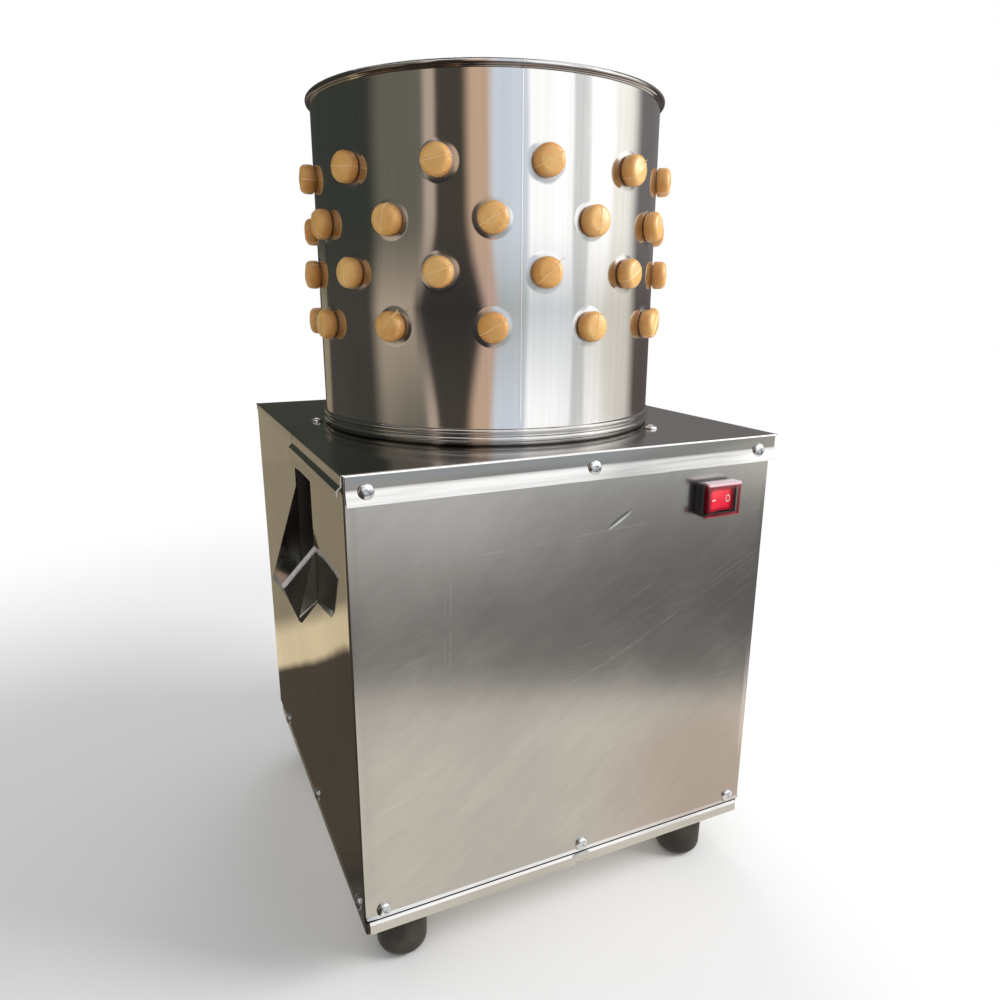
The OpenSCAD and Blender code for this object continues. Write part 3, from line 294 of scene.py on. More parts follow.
# shader maths: a wrapped socket
class Tone:
    def __init__(self, tree, socket=None):
        self.tree, self.socket = tree, socket

    def node(self, kind, settings=None, links=None, out=0):
        node = self.tree.nodes.new(kind)
        for key, value in (settings or {}).items():
            setattr(node, key, value)
        for key, value in (links or {}).items():
            if isinstance(value, Tone):
                self.tree.links.new(value.socket, node.inputs[key])
            else:
                node.inputs[key].default_value = value
        return Tone(self.tree, node.outputs[out]) if len(node.outputs) else node

    def maths(self, operation, a, b):
        return self.node("ShaderNodeMath", {"operation": operation}, {0: a, 1: b})

    def __add__(self, other):
        return self.maths("ADD", self, other)

    def __sub__(self, other):
        return self.maths("SUBTRACT", self, other)

    def __rsub__(self, other):
        return self.maths("SUBTRACT", other, self)

    def __mul__(self, other):
        return self.maths("MULTIPLY", self, other)

    def __truediv__(self, other):
        return self.maths("DIVIDE", self, other)

    def __pow__(self, other):
        return self.maths("POWER", self, other)

    __radd__, __rmul__ = __add__, __mul__

    def least(self, other):
        return self.maths("MINIMUM", self, other)

    def most(self, other):
        return self.maths("MAXIMUM", self, other)

    def size(self):
        return self.maths("ABSOLUTE", self, 0)

    def around(self, middle, swing):  # self varies a value about its middle
        return middle + (self - 0.5) * swing

    def span(self, low, high, to=(0, 1)):  # smooth step
        limits = {"Value": self, "From Min": low, "From Max": high, "To Min": to[0], "To Max": to[1]}
        return self.node("ShaderNodeMapRange", {"interpolation_type": "SMOOTHSTEP"}, limits)

    def fade(self, low, high):
        return self.span(low, high, (1, 0))

    def along(self, axis):
        return self.node("ShaderNodeSeparateXYZ", {}, {0: self}, "XYZ".index(axis))

    def axes(self):
        return [self.along(axis) for axis in "XYZ"]

    def noise(self, scale, detail=3, rough=0.5, stretch=None, turn=(0, 0, 0)):  # self is a place
        place = self
        if stretch:
            turns = [math.radians(t) for t in turn]
            links = {"Vector": self, "Rotation": turns, "Scale": stretch}
            place = self.node("ShaderNodeMapping", {"vector_type": "TEXTURE"}, links)
        links = {"Vector": place, "Scale": scale, "Detail": detail, "Roughness": rough}
        return self.node("ShaderNodeTexNoise", {}, links)

    def blend(self, first, second):  # self is the factor between two colours
        colours = [c if isinstance(c, Tone) else (*c, 1) for c in (first, second)]
        return self.node("ShaderNodeMix", {"data_type": "RGBA"}, {0: self, 6: colours[0], 7: colours[1]}, 2)

    def bump(self, depth, under=None):  # self is the height, depth in metres
        links = {"Height": self, "Distance": depth, "Strength": 1.0}
        if under:
            links["Normal"] = under
        return self.node("ShaderNodeBump", {}, links)


def newFinish(name):  # gives the place on the piece, from which all else is worked out
    material = bpy.data.materials.new(name)
    material.use_nodes = True
    material.node_tree.nodes.clear()
    spot = Tone(material.node_tree).node("ShaderNodeTexCoord", out="Object")
    spot.material = material
    return spot


def closeFinish(spot, **sockets):
    links = {key.replace("_", " "): value for key, value in sockets.items()}
    shader = spot.node("ShaderNodeBsdfPrincipled", {}, links)
    spot.node("ShaderNodeOutputMaterial", {}, {"Surface": shader})
    return spot.material


def closeMetal(spot, colour, roughness, normal, metal=1.0):
    return closeFinish(spot, Base_Color=colour, Metallic=metal, Roughness=roughness, Normal=normal)


def grey(level, warm=0.0):
    return (level * (1 + warm), level, level * (1 - warm))


# finishes: limits in metres, places of single marks in millimetres
def sheetSteel(name, level, rough, grain, wave=0.0, warm=0.02, haze=0.1, bands=None):
    spot = newFinish(name)
    cloud = spot.noise(7, 5, 0.6)
    lines = spot.noise(1, 4, 0.6, stretch=grain)
    worn = (cloud * 0.6 + lines * 0.4).span(0.3, 0.7)
    colour = worn.blend(grey(level * 0.9, warm), grey(level * 1.06, warm))
    if bands:
        colour = bands(spot, colour)
    roughness = lines.around(rough, haze) + cloud.span(0.45, 0.75) * haze * 0.6
    normal = lines.bump(6e-6)
    if wave:
        normal = spot.noise(4.5, 1, 0.4).bump(wave, under=normal)
    return closeMetal(spot, colour, roughness, normal)


flangeLook = {
    "front": (-0.1874, -0.187), "bendFront": (-0.1867, -0.1861), "bendUp": (0.4141, 0.4147),
    "kink": (0.4028, 0.4058), "upper": 0.30, "lower": (0.64, 0.82), "lowerAcross": (0, 0.1), "edge": 0.86}


def flangeBands(spot, colour):  # lid's front flange: painted reflections, darker above its kink and lighter below it, with a painted highlight on the bend
    look = flangeLook
    across, deep, up = spot.axes()
    front = deep.fade(*look["front"])
    bend = deep.fade(*look["bendFront"]) * up.span(*look["bendUp"])
    patchy = spot.noise(1, 3, 0.6, stretch=(0.09, 0.5, 0.003)).span(0.3, 0.62, (0.6, 1))
    below = up.fade(*look["kink"]) * front * patchy
    paintedReflection = across.span(*look["lowerAcross"]).blend(*(grey(level, 0.01) for level in look["lower"]))
    # painted reflections: the upper band darkened, the lower band and the bend lightened
    colour = (front * 0.8).blend(colour, grey(look["upper"], 0.02))
    colour = below.blend(colour, paintedReflection)
    return bend.blend(colour, grey(look["edge"], 0.01))


def nearLine(across, up, start, end):  # distance from a straight mark, in metres
    (ax, az), (bx, bz) = start, end
    dx, dz = (bx - ax) * mm, (bz - az) * mm
    px, pz = across - ax * mm, up - az * mm
    share = ((px * dx + pz * dz) / (dx * dx + dz * dz)).least(1).most(0)
    return ((px - share * dx) ** 2 + (pz - share * dz) ** 2) ** 0.5


wrapLook = {
    "level": 0.58, "front": (-0.1862, -0.1848), "frontRough": 0.19, "sideRough": 0.05, "bright": 0.86,
    "stain": (0.45, 0.345, 0.295), "stainAcross": (-0.03, 0.13), "stainUp": (0.13, 0.21),
    "scuffAcross": (-0.04, 0.07), "scuffLow": (0.19, 0.24), "scuffHigh": (0.30, 0.345),
    "dent": (32, 358.5), "dentSize": (6.5, 3), "dentDeep": 0.0004, "scoreWidth": (0.00008, 0.0006),
    "scores": [  # long scratches on the front, from (x, z) to (x, z)
        ((-113, 262), (-111.5, 331)), ((-117, 268), (-116, 318)), ((-16, 251), (131, 285)),
        ((-33, 215), (58, 250)), ((-90, 346), (62, 353)), ((20, 262), (118, 300))],
}


def wrapSteel():
    look = wrapLook
    spot = newFinish("wrapSteel")
    across, deep, up = spot.axes()
    front = deep.fade(*look["front"])
    cloud = spot.noise(5, 6, 0.65)
    lines = spot.noise(1, 4, 0.6, stretch=(0.3, 0.3, 0.0016))
    patch = spot.noise(9, 3).span(0.5, 0.66)
    marks = spot.noise(1, 1, stretch=(0.09, 0.5, 0.0008), turn=(0, -17, 0)).span(0.66, 0.76) * patch * 0.4
    scuffs = spot.noise(1, 2, stretch=(0.13, 0.5, 0.0011), turn=(0, -25, 0)).span(0.56, 0.72)
    scuffs = scuffs * spot.noise(14, 3).span(0.42, 0.6) * across.span(*look["scuffAcross"])
    marks = marks + scuffs * up.span(*look["scuffLow"]) * up.fade(*look["scuffHigh"]) * 0.4
    broken = spot.noise(70, 2).span(0.36, 0.6)
    for start, end in look["scores"]:
        marks = marks + nearLine(across, up, start, end).span(*look["scoreWidth"], (0.35, 0)) * broken
    marks = marks.least(1) * front
    smear = spot.noise(1, 3, 0.6, stretch=(0.06, 0.5, 0.014), turn=(0, -36, 0))
    worn = (cloud * 0.72 + smear * 0.28).span(0.36, 0.66)
    colour = worn.blend(grey(look["level"] * 0.92, 0.02), grey(look["level"] * 1.07, 0.025))
    stain = across.span(*look["stainAcross"]) * up.fade(*look["stainUp"]) * front
    colour = (stain * 0.6).blend(colour, look["stain"])
    colour = (marks * 0.75).blend(colour, grey(look["bright"], 0.01))
    (x, z), (wide, high) = look["dent"], look["dentSize"]
    beside, above = across - x * mm, up - z * mm
    away = ((beside - above * 0.9) / (wide * mm)) ** 2 + ((above - beside * 0.5) / (high * mm)) ** 2
    dent = (away ** 0.5).span(0, 1) * front
    roughness = front * (look["frontRough"] - look["sideRough"]) + look["sideRough"]
    roughness = roughness + (lines - 0.5) * 0.08 * front + marks * 0.1
    roughness = roughness + cloud.span(0.4, 0.75) * (front * 0.05 + 0.02)
    normal = ((lines * 0.6 - marks) * front).bump(8e-6)
    normal = spot.noise(3.2, 1.5, 0.45).bump(0.003, under=normal)
    normal = (spot.noise(8, 1, 0.4) * (1 - front)).bump(0.0026, under=normal)
    normal = dent.bump(look["dentDeep"], under=normal)
    return closeMetal(spot, colour, roughness, normal)


spoutLook = {
    "level": 0.56, "rough": 0.09, "hem": ((-215, 305.9), (-187, 335)), "hemWide": (0.0026, 0.0034),
    "hemFront": (-0.0785, -0.078), "hemTone": 0.82}


def spoutSteel():
    look = spoutLook
    spot = newFinish("spoutSteel")
    across, deep, up = spot.axes()
    cloud = spot.noise(30, 4, 0.6)
    lines = spot.noise(1, 4, 0.6, stretch=(0.0012, 0.05, 0.05))
    hem = nearLine(across, up, *look["hem"]).fade(*look["hemWide"]) * deep.fade(*look["hemFront"])
    worn = (cloud * 0.5 + lines * 0.5).span(0.3, 0.7)
    colour = worn.blend(grey(look["level"] * 0.88, 0.03), grey(look["level"] * 1.1, 0.02))
    colour = hem.blend(colour, grey(look["hemTone"], 0.02))  # folded edge: painted highlight, lighter and less metallic
    roughness = lines.around(look["rough"], 0.06) + cloud.span(0.45, 0.75) * 0.06 + hem * 0.3
    normal = lines.bump(4e-6)
    normal = spot.noise(12, 1, 0.4).bump(0.0016, under=normal)
    return closeMetal(spot, colour, roughness, normal, 1 - hem * 0.6)


stripLook = {
    "level": 0.64, "rough": 0.2, "front": (-0.184, -0.183), "slit": (0.0571, 0.0576),
    "slitTone": (0.03, 0.03, 0.055), "dimple": (6.5, 53), "dimpleSize": (11, 6), "dimpleDeep": 0.0011}


def stripSteel():
    look = stripLook
    spot = newFinish("stripSteel")
    across, deep, up = spot.axes()
    cloud = spot.noise(9, 5, 0.6)
    lines = spot.noise(1, 4, 0.6, stretch=(0.3, 0.3, 0.0012))
    (x, z), (wide, high) = look["dimple"], look["dimpleSize"]
    away = ((across - x * mm) / (wide * mm)) ** 2 + ((up - z * mm) / (high * mm)) ** 2
    dimple = away.fade(0, 1) * deep.fade(*look["front"])
    worn = (cloud * 0.7 + lines * 0.3).span(0.3, 0.7)
    colour = worn.blend(grey(look["level"] * 0.9, 0.03), grey(look["level"] * 1.06, 0.02))
    colour = up.span(*look["slit"]).blend(colour, look["slitTone"])  # shaded slit behind the wrap's edge
    normal = lines.bump(6e-6)
    normal = spot.noise(6, 2, 0.4).bump(0.002, under=normal)
    normal = (0 - dimple).bump(look["dimpleDeep"], under=normal)
    roughness = lines.around(look["rough"], 0.1) + cloud.span(0.45, 0.75) * 0.08
    return closeMetal(spot, colour, roughness, normal)


rows = {  # height and turn of each row of wall fingers
    "finger_row_1": (506.5, 0), "finger_row_2": (546, 15),
    "finger_row_3": (584, 0), "finger_row_4": (622.3, 15)}
firstFinger, fingerStep = -112, 30
drumLook = {
    "level": 0.66, "rough": 0.07, "radius": 0.15, "seamAngle": -104, "seamWide": (0.001, 0.005),
    "seamUp": (0.435, 0.44), "hole": (0.0095, 0.0158), "holeRise": 0.00022, "grime": (0.416, 0.448),
    "dirtAndShade": 0.3, "shade": (0.4165, 0.4195), "shadeOut": (0.1495, 0.15), "lipLow": (0.6818, 0.6826),
    "lipHigh": (0.6843, 0.6853), "lipOut": (0.1502, 0.1507), "lipTone": (0.20, 0.15, 0.145)}


def drumSteel():
    look = drumLook
    spot = newFinish("drumSteel")
    across, deep, up = spot.axes()
    lines = spot.noise(1, 4, 0.6, stretch=(0.0035, 0.0035, 0.5))
    broad = spot.noise(1, 2, 0.5, stretch=(0.03, 0.03, 1.2))
    cloud = spot.noise(11, 5, 0.65)
    grime = up.fade(*look["grime"]) * cloud.span(0.4, 0.62)
    reach = (across * across + deep * deep) ** 0.5
    shade = up.fade(*look["shade"]) * reach.span(*look["shadeOut"])
    lip = up.span(*look["lipLow"]) * up.fade(*look["lipHigh"]) * reach.span(*look["lipOut"])
    angle = spot.maths("ARCTAN2", deep, across)
    seam = (angle - math.radians(look["seamAngle"])).size().fade(*look["seamWide"])
    seam = seam * up.span(*look["seamUp"])
    step = math.radians(fingerStep)
    plain = None
    for height, stagger in rows.values():  # the sheet stands up round each punched hole
        turn = (angle - math.radians(firstFinger + stagger)) / step + 20.5  # a hole at each half
        along = (spot.maths("FRACT", turn, 0) - 0.5) * (step * look["radius"])
        away = (along ** 2 + (up - height * mm) ** 2) ** 0.5
        flat = away.span(*look["hole"])
        plain = flat if plain is None else plain.least(flat)
    raised = 1 - plain
    worn = (lines * 0.5 + broad * 0.5).span(0.35, 0.65)
    colour = worn.blend(grey(look["level"] * 0.95, 0.01), grey(look["level"] * 1.04, 0.008))
    # the darkening round each finger hole is painted shade; the grime at the foot and the dark seam are dirt
    colour = (grime * 0.3 + seam * 0.12 + raised * 0.4).blend(colour, grey(look["dirtAndShade"], 0.06))
    colour = (lip * 0.75).blend(colour, look["lipTone"])  # painted shade on the underside of the rolled rim
    colour = (shade * 0.92).blend(colour, grey(0.012))
    roughness = lines.around(look["rough"], 0.04) + cloud.span(0.5, 0.75) * 0.05
    roughness = roughness + grime * 0.16 + seam * 0.1 + raised * 0.3
    normal = lines.bump(1.5e-6)
    normal = spot.noise(1, 1, 0.4, stretch=(0.09, 0.09, 0.3)).bump(0.002, under=normal)
    normal = (spot.noise(16, 1) * raised).bump(0.0008, under=normal)
    normal = raised.bump(look["holeRise"], under=normal)
    normal = seam.bump(0.00007, under=normal)
    return closeMetal(spot, colour, roughness, normal)


fingerLook = {
    "dark": (0.66, 0.34, 0.085), "light": (0.82, 0.52, 0.19), "seam": (0.95, 0.76, 0.46),
    "flankShade": (0.50, 0.19, 0.03), "speck": (0.88, 0.66, 0.34)}


def fingerRubber():
    look = fingerLook
    spot = newFinish("fingerRubber")
    seam, flankShade = (
        spot.node("ShaderNodeAttribute", {"attribute_name": name}, out="Fac") for name in ("seam", "flankShade"))
    cloud = spot.noise(70, 3, 0.55)
    batch = spot.noise(13, 0)
    speck = spot.noise(500, 2).span(0.66, 0.78)
    colour = (cloud * 0.5 + batch * 0.5).span(0.3, 0.7).blend(look["dark"], look["light"])
    colour = (speck * 0.25).blend(colour, look["speck"])
    colour = (flankShade * 0.8).blend(colour, look["flankShade"])  # painted shade: the head's flank darker and redder towards the drum
    colour = (seam * 0.7).blend(colour, look["seam"])
    normal = (spot.noise(300, 2) * 0.4 + cloud).bump(0.00018)
    return closeFinish(
        spot, Base_Color=colour, Roughness=cloud.around(0.34, 0.2), Normal=normal,
        Coat_Weight=0.2, Coat_Roughness=0.2, Subsurface_Weight=0.5,
        Subsurface_Radius=(1.0, 0.45, 0.12), Subsurface_Scale=0.006)


def blackRubber(name, level, scale, warm=0.0):
    spot = newFinish(name)
    grain = spot.noise(scale, 5, 0.7)
    dust = spot.noise(38, 4).span(0.5, 0.72)
    colour = (dust * 0.5).blend(grey(level, warm), grey(level * 3.2, 0.05 + warm))
    roughness = grain.around(0.66, 0.3)
    return closeFinish(spot, Base_Color=colour, Roughness=roughness, Normal=grain.bump(0.0004))


def screwSteel():
    spot = newFinish("screwSteel")
    cloud = spot.noise(260, 4)
    colour = cloud.span(0.35, 0.7).blend((0.70, 0.72, 0.76), (0.88, 0.90, 0.93))
    roughness = cloud.around(0.2, 0.2)
    normal = spot.noise(700, 2).bump(0.00003)
    return closeMetal(spot, colour, roughness, normal)


def paintedMetal(name, colour, rough):
    spot = newFinish(name)
    peel = spot.noise(420, 2)
    wear = spot.noise(24, 6, 0.7)
    chips = wear.span(0.74, 0.76)
    shade = wear.span(0.4, 0.7).blend(colour, [c * 1.35 + 0.01 for c in colour])
    shade = chips.blend(shade, (0.32, 0.3, 0.28))
    roughness = peel.around(rough, 0.2)
    normal = (peel - chips).bump(0.00012)
    return closeMetal(spot, shade, roughness, normal, chips)


def castMetal():
    spot = newFinish("castMetal")
    sand = spot.noise(650, 4, 0.7)
    cloud = spot.noise(30, 4)
    worn = (sand * 0.4 + cloud * 0.6).span(0.35, 0.7)
    colour = worn.blend((0.16, 0.165, 0.17), (0.34, 0.34, 0.34))
    roughness = sand.around(0.5, 0.4)
    normal = sand.bump(0.0003)
    return closeMetal(spot, colour, roughness, normal, 0.85)


def turnedSteel():
    spot = newFinish("turnedSteel")
    rings = spot.noise(1, 3, 0.6, stretch=(0.02, 0.02, 0.0007))
    cloud = spot.noise(40, 3)
    colour = (rings * 0.6 + cloud * 0.4).span(0.35, 0.7).blend(grey(0.42), grey(0.62))
    roughness = rings.around(0.28, 0.2)
    normal = rings.bump(0.00003)
    return closeMetal(spot, colour, roughness, normal)


def mouldedPlastic(name, colour, rough):
    spot = newFinish(name)
    grain = spot.noise(1500, 2)
    cloud = spot.noise(45, 4)
    shade = cloud.span(0.35, 0.7).blend([c * 0.85 for c in colour], [c * 1.2 for c in colour])
    roughness = cloud.around(rough, 0.16)
    return closeFinish(spot, Base_Color=shade, Roughness=roughness, Normal=grain.bump(0.00006))


def windingCopper():
    spot = newFinish("windingCopper")
    strands = spot.noise(1, 2, 0.5, stretch=(0.004, 0.004, 0.0009))
    colour = strands.span(0.35, 0.65).blend((0.3, 0.12, 0.04), (0.72, 0.36, 0.15))
    roughness = strands.around(0.35, 0.3)
    normal = strands.bump(0.0003)
    return closeMetal(spot, colour, roughness, normal, 0.8)


switchAt = (123, 367.5)  # middle of the switch on the front, x and z
bootLook = {
    "outer": (-0.197, -0.1955), "right": (0.0125, 0.0165), "left": (-0.0185, -0.0165),
    "high": (0.0085, 0.0125), "edge": (0.30, 0.006, 0.022), "shineUp": (0.0118, 0.0138),
    "shineLeft": (-0.017, -0.014), "shineFront": (-0.192, -0.19), "shine": (0.80, 0.60, 0.66)}


def clearBoot():
    look = bootLook
    spot = newFinish("clearBoot")
    across, deep, up = spot.axes()
    side, up = across - switchAt[0] * mm, up - switchAt[1] * mm
    cloud = spot.noise(90, 3)
    edge = side.span(*look["right"]).most(up.size().span(*look["high"]))
    edge = edge * side.span(*look["left"]) * deep.fade(*look["outer"])  # painted: the rocker's red seen through the thick rim, as a dark red edge
    # painted highlight along the boot's top edge
    shine = up.span(*look["shineUp"]) * side.span(*look["shineLeft"]) * deep.fade(*look["shineFront"])
    colour = cloud.span(0.4, 0.7).blend((0.02, 0.02, 0.02), (0.05, 0.045, 0.045))
    colour = edge.blend(colour, look["edge"])
    colour = shine.blend(colour, look["shine"])
    alpha = (cloud.span(0.4, 0.7, (0.03, 0.07)) + edge * 0.6 + shine * 0.75).least(1)
    return closeFinish(
        spot, Base_Color=colour, Roughness=cloud.around(0.08, 0.06), Alpha=alpha,
        Normal=cloud.bump(0.0005), Specular_IOR_Level=0.6, Coat_Weight=0.5, Coat_Roughness=0.05)


rockerLook = {
    "dark": (0.20, 0.003, 0.012), "lit": (0.80, 0.012, 0.04), "glow": (0.9, 0.02, 0.05), "glowStrength": 0.45,
    "wide": (0.008, 0.0135), "high": (0.006, 0.0105)}


def rockerRed():
    look = rockerLook
    spot = newFinish("rockerRed")
    cloud = spot.noise(120, 3)
    side = (spot.along("X") - switchAt[0] * mm).size()
    up = (spot.along("Z") - switchAt[1] * mm).size()
    # painted light: the rocker's middle painted lit and made to glow, its sides painted dark
    glow = side.fade(*look["wide"]) * up.span(*look["high"], (1, 0.1))
    light = (glow * 0.5).blend((0, 0, 0), look["glow"])
    return closeFinish(
        spot, Base_Color=glow.blend(look["dark"], look["lit"]), Roughness=cloud.around(0.16, 0.08),
        Emission_Color=light, Emission_Strength=look["glowStrength"], Normal=cloud.bump(0.0001),
        Coat_Weight=0.6, Coat_Roughness=0.08)


steelWrap = wrapSteel()
steelStrip = stripSteel()
steelRear = sheetSteel("rearSteel", 0.6, 0.26, (0.3, 0.3, 0.0012), wave=0.003)
steelLid = sheetSteel(
    "lidSteel", 0.53, 0.11, (0.4, 0.0016, 0.4), wave=0.0016, warm=0.035, haze=0.06, bands=flangeBands)
steelSpout = spoutSteel()
steelDrum = drumSteel()
rubberFinger = fingerRubber()
rubberFoot = blackRubber("footRubber", 0.017, 520, 0.2)
steelScrew = screwSteel()
finishes = {
    "satin_steel": steelRear,
    "polished_steel": steelLid,
    "inner_steel": sheetSteel("innerSteel", 0.56, 0.24, (0.002, 0.3, 0.3)),
    "finger_rubber": rubberFinger,
    "foot_rubber": rubberFoot,
    "screw_steel": steelScrew,
    "frame_paint": paintedMetal("framePaint", (0.13, 0.14, 0.15), 0.5),
    "cast_metal": castMetal(),
    "turned_steel": turnedSteel(),
    "belt_rubber": blackRubber("beltRubber", 0.03, 900),
    "motor_paint": paintedMetal("motorPaint", (0.09, 0.17, 0.23), 0.38),
    "winding_copper": windingCopper(),
    "black_plastic": mouldedPlastic("blackPlastic", (0.02, 0.02, 0.022), 0.4),
    "capacitor_can": sheetSteel("capacitorCan", 0.62, 0.35, (0.02, 0.02, 0.001)),
    "rocker_red": rockerRed(),
    "clear_boot": clearBoot(),
}
print("finishes made")


# camera at the photo's view
cameraSet = {
    "place": (-301.69, -678.93, 532.31), "yaw": 24.9766, "pitch": 15.0385, "roll": 0.0967, "lens": 27.918,
    "sensor": 36, "nearest": 0.02}


def setCamera():
    s = cameraSet
    yaw, pitch, roll = (math.radians(s[key]) for key in ("yaw", "pitch", "roll"))
    ahead = Vector((math.sin(yaw) * math.cos(pitch), math.cos(yaw) * math.cos(pitch), -math.sin(pitch)))
    level = Vector((math.cos(yaw), -math.sin(yaw), 0))
    rise = level.cross(ahead)
    sideways = math.cos(roll) * level + math.sin(roll) * rise
    upward = math.cos(roll) * rise - math.sin(roll) * level
    bpy.ops.object.camera_add(location=Vector(s["place"]) * mm)
    camera = bpy.context.object
    camera.rotation_euler = Matrix((sideways, upward, -ahead)).transposed().to_euler()
    camera.data.lens = s["lens"]
    camera.data.sensor_width = s["sensor"]
    camera.data.clip_start = s["nearest"]
    bpy.context.scene.camera = camera
    bpy.context.scene.view_settings.view_transform = "Standard"


# floor and soft lamps, in metres
studio = {
    "floor": 12, "floorTone": (0.9, 0.9, 0.9), "floorFade": (0.55, 1.3), "world": 0.52, "aim": (0, 0, 0.35),
    "lamps": {  # place, size, power
        "keyLamp": ((2.1, -1.2, 1.5), 1.3, 62),
        "fillLamp": ((-1.7, -1.5, 2.4), 1.6, 5),
        "backLamp": ((0.5, 2.0, 2.4), 1.6, 16),
    },
}


def setWorld():  # white where it is seen, weaker as a light
    world = bpy.data.worlds.new("softStudio")
    bpy.context.scene.world = world
    world.use_nodes = True
    world.node_tree.nodes.clear()
    sky = Tone(world.node_tree)
    kinds = ("Is Camera Ray", "Is Glossy Ray", "Is Transmission Ray")
    camera, glossy, through = (sky.node("ShaderNodeLightPath", out=kind) for kind in kinds)
    strength = (camera + glossy + through).least(1) * (1 - studio["world"]) + studio["world"]
    glow = sky.node("ShaderNodeBackground", {}, {"Color": (1, 1, 1, 1), "Strength": strength})
    sky.node("ShaderNodeOutputWorld", {}, {"Surface": glow})


def makeFloor():  # runs out into white
    deselectAll()
    bpy.ops.mesh.primitive_plane_add(size=studio["floor"])
    floor = settle("paleFloor")
    spot = newFinish("paleFloor")
    distance = spot.node("ShaderNodeVectorMath", {"operation": "LENGTH"}, {0: spot}, 1)
    matt = spot.node("ShaderNodeBsdfDiffuse", {}, {"Color": (*studio["floorTone"], 1)})
    white = spot.node("ShaderNodeEmission", {}, {"Color": (1, 1, 1, 1), "Strength": 1.0})
    far = distance.span(*studio["floorFade"]) * spot.node("ShaderNodeLightPath", out="Is Camera Ray")
    mixed = spot.node("ShaderNodeMixShader", {}, {0: far, 1: matt, 2: white})
    spot.node("ShaderNodeOutputMaterial", {}, {"Surface": mixed})
    floor.data.materials.append(spot.material)
    floor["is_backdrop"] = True


def hangLamps():
    for name, (place, size, power) in studio["lamps"].items():
        deselectAll()
        bpy.ops.object.light_add(type="AREA", location=place)
        lamp = bpy.context.object
        lamp.name = name
        lamp.data.size, lamp.data.energy = size, power
        aim = Vector(studio["aim"]) - Vector(place)
        lamp.rotation_euler = aim.to_track_quat("-Z", "Y").to_euler()


# reflection cards, in metres
def onlyReflected(card, spot, shade):  # polished sheet shows the card and nothing else sees it
    glow = spot.node("ShaderNodeEmission", {}, {"Color": shade, "Strength": 1.0})
    spot.node("ShaderNodeOutputMaterial", {}, {"Surface": glow})
    card.data.materials.append(spot.material)
    card.visible_camera = card.visible_diffuse = card.visible_shadow = False
    card.visible_transmission = card.visible_volume_scatter = False
    card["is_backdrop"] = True


cardLook = {
    "radius": 1.9, "top": 2.6, "split": (0.4, 0.75), "back": ((0.05, 0.055, 0.045), (0.08, 0.07, 0.06)),
    "cards": {  # left edge low and high, degrees from the camera's side; softness; upper and lower tone
        "tanCorner": (-150, -150, 3, (0.05, 0.055, 0.045), (0.33, 0.28, 0.19)),
        "darkBack": (-132, -132, 3, (0.05, 0.055, 0.045), (0.08, 0.07, 0.06)),
        "taupeWall": (-76, -70, 7, (0.18, 0.168, 0.135), (0.62, 0.50, 0.38)),
        "slimLamp": (-47, -38, 2.5, (0.62, 0.50, 0.40), (0.03, 0.03, 0.03)),
        "darkDoor": (-44, -31, 2, (0.08, 0.07, 0.055), (0.04, 0.035, 0.035)),
        "copperCurtain": (1, -11, 4, (0.75, 0.52, 0.36), (0.70, 0.50, 0.43)),
        "paleWall": (8, 3, 3, (0.87, 0.94, 1.04), (0.52, 0.56, 0.54)),
        "window": (26, 25, 1.2, (1.5, 1.5, 1.5), (0.76, 0.81, 0.84)),
        "windowBar": (56, 54.5, 1.2, (0.95, 0.95, 0.95), (0.63, 0.66, 0.64)),
        "sideWindow": (64, 66, 2, (1.5, 1.5, 1.48), (0.90, 0.88, 0.82)),
        "creamWall": (80, 86, 4, (1.2, 1.17, 1.08), (0.83, 0.79, 0.70)),
        "greyEnd": (112, 108, 7, (0.21, 0.20, 0.20), (0.12, 0.10, 0.09)),
    },
    "ceiling": 1.2, "ceilingAt": (-0.4, 0.5), "ceilingTone": (0.10, 0.09, 0.085),
}


def makeCards():
    look = cardLook
    deselectAll()
    bpy.ops.mesh.primitive_cylinder_add(
        vertices=128, radius=look["radius"], depth=look["top"], end_fill_type="NOTHING",
        location=(0, 0, look["top"] / 2))
    cards = settle("studioCards")
    spot = newFinish("studioCards")
    toCamera = math.atan2(cameraSet["place"][1], cameraSet["place"][0])
    facing = spot.node("ShaderNodeMapping", {}, {"Vector": spot, "Rotation": (0, 0, -toCamera)})
    angle = spot.maths("ARCTAN2", facing.along("Y"), facing.along("X")) * (180 / math.pi)
    lift = spot.along("Z").span(*look["split"])
    high, low = look["back"]
    shade = lift.blend(low, high)
    for lowEdge, highEdge, soft, high, low in look["cards"].values():
        past = angle - (lift * (highEdge - lowEdge) + lowEdge)
        shade = past.span(-soft, soft).blend(shade, lift.blend(low, high))
    onlyReflected(cards, spot, shade)


def makeCeiling():
    look = cardLook
    deselectAll()
    bpy.ops.mesh.primitive_circle_add(
        vertices=64, radius=look["ceiling"], fill_type="NGON", location=(*look["ceilingAt"], look["top"]))
    ceiling = settle("studioCeiling")
    spot = newFinish("studioCeiling")
    dim, bright = ([c * share for c in look["ceilingTone"]] for share in (0.7, 1.4))
    onlyReflected(ceiling, spot, spot.noise(1.5, 2).span(0.3, 0.7).blend(dim, bright))


